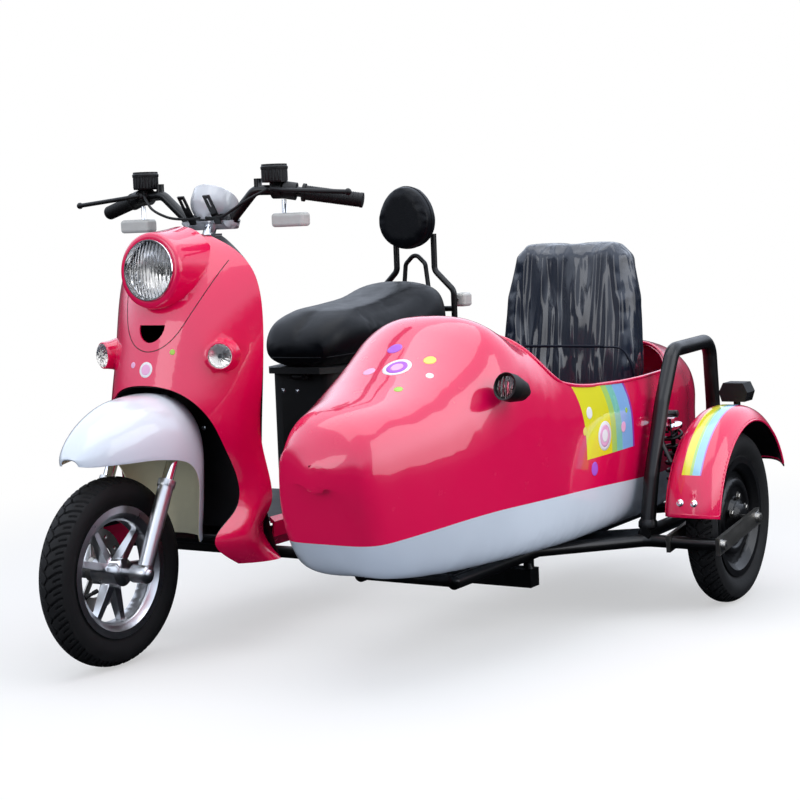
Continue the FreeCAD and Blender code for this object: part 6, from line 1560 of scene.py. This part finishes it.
@dataclass
class Studio:
    """Camera at the photograph's place, pale floor, white surroundings and three soft lamps."""

    eye: Point = (2384.0, -2719.0, 873.0)
    yaw: float = math.radians(31.52)
    pitch: float = math.radians(5.49)
    roll: float = math.radians(-2.16)
    focal_px: float = 1744.0
    sensor_mm: float = 36.0
    picture_px: float = 800.0
    floor_half: float = 30.0
    aim_z: float = 400.0
    softboxes: tuple = (("overhead", (300.0, 300.0, 3200.0), (0.0, 0.0), 3.2, 55.0),
                        ("side", (3400.0, 900.0, 1700.0), (400.0, 600.0), 2.4, 42.0),
                        ("front", (-900.0, -3200.0, 1900.0), (200.0, 400.0), 2.0, 30.0))

    def build(self) -> None:
        """Place the camera, floor, world and lamps."""
        self.camera()
        corners = np.array([(-1.0, -1.0, 0.0), (1.0, -1.0, 0.0), (1.0, 1.0, 0.0), (-1.0, 1.0, 0.0)]) * self.floor_half
        thing = mesh_of("floor", corners, [[0, 1, 2, 3]], material_of("pale floor", self.floor), smooth=False)
        self.world()
        self.lamps()
        bpy.context.scene.view_settings.view_transform = "Standard"

    def camera(self) -> None:
        """Camera turned by yaw, pitch and roll about its own axes."""
        y, p, r = self.yaw, self.pitch, self.roll
        back = np.array([math.sin(y) * math.cos(p), -math.cos(y) * math.cos(p), math.sin(p)])
        right = np.array([math.cos(y), math.sin(y), 0.0])
        up = np.cross(back, right)
        columns = np.stack([spoke(right, up, r), spoke(up, -right, r), back], 1)
        data = bpy.data.cameras.new("camera")
        data.sensor_fit = "HORIZONTAL"
        data.sensor_width = self.sensor_mm
        data.lens = self.focal_px / self.picture_px * self.sensor_mm
        data.clip_end = 60.0
        thing = place("camera", data)
        thing.matrix_world = Matrix.Translation(Vector(GROUND.metres(self.eye))) @ Matrix(columns.tolist()).to_4x4()
        bpy.context.scene.camera = thing

    @staticmethod
    def floor(nodes: Nodes, coords: Socket) -> Socket:
        """Plain pale floor that fades to white in the distance and looks darker in reflections.

        Args:
            nodes: the material's nodes.
            coords: coordinates in metres.

        Returns:
            The shader.
        """
        path = nodes.add("LightPath")
        away = nodes.blend(path.outputs["Is Glossy Ray"], linear("A6ABB2"), linear("26282C"))
        tint = nodes.blend(path.outputs["Is Camera Ray"], away, linear("F7F7F7"))
        matt = nodes.add("BsdfDiffuse", Color=tint).outputs[0]
        glow = nodes.add("Emission", Color=linear("FFFFFF"), Strength=1.0).outputs[0]
        far = nodes.add("VectorMath", settings={"operation": "LENGTH"}, places={0: coords}).outputs["Value"]
        fade = nodes.add("MapRange", settings={"interpolation_type": "SMOOTHSTEP"}, Value=far,
                         From_Min=0.9, From_Max=2.6, To_Min=0.5, To_Max=1.0).outputs[0]
        return nodes.mixed(nodes.math("MULTIPLY", path.outputs["Is Camera Ray"], fade), matt, glow)

    def world(self) -> None:
        """White surroundings for the camera, softer ones for the light, and a bright sky in reflections."""
        world = bpy.data.worlds.new("white room")
        bpy.context.scene.world = world
        world.use_nodes = True
        nodes = Nodes(world.node_tree)
        path = nodes.add("LightPath")
        seen = nodes.math("MAXIMUM", path.outputs["Is Camera Ray"], path.outputs["Is Transmission Ray"])
        rise = nodes.add("SeparateXYZ", Vector=nodes.add("TexCoord").outputs["Generated"]).outputs[2]
        sky = nodes.add("MapRange", settings={"interpolation_type": "SMOOTHSTEP"}, Value=rise,
                        From_Min=0.08, From_Max=0.34, To_Min=0.11, To_Max=1.9).outputs[0]
        amount = nodes.add("Mix", settings={"data_type": "FLOAT"},
                           places={0: path.outputs["Is Glossy Ray"], 2: 0.66, 3: sky}).outputs[0]
        lit = nodes.add("Background", Color=linear("E2ECFD"), Strength=amount).outputs[0]
        white = nodes.add("Background", Color=linear("FFFFFF"), Strength=1.0).outputs[0]
        nodes.add("OutputWorld", Surface=nodes.mixed(seen, lit, white))

    def lamps(self) -> None:
        """Overhead softbox, a side panel and a front fill."""
        for name, at, aim, size, power in self.softboxes:
            data = bpy.data.lights.new(name, "AREA")
            data.energy = power
            data.size = size
            thing = place(name, data)
            thing.location = Vector(GROUND.metres(at))
            target = Vector(GROUND.metres((*aim, self.aim_z)))
            thing.rotation_euler = (target - thing.location).to_track_quat("-Z", "Y").to_euler()


def main() -> None:
    """Build every sub-assembly in order and log each one as it is built."""
    logging.basicConfig(level=logging.INFO, format="%(name)s: %(message)s")
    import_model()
    GROUND.settle()
    for part in (Studio(), Wheels(), Fork(), Bodywork(), Chassis(), Controls(), Upholstery(), Sidecar()):
        part.build()
        log.info("built %s", type(part).__name__)


if __name__ == "__main__":
    main()
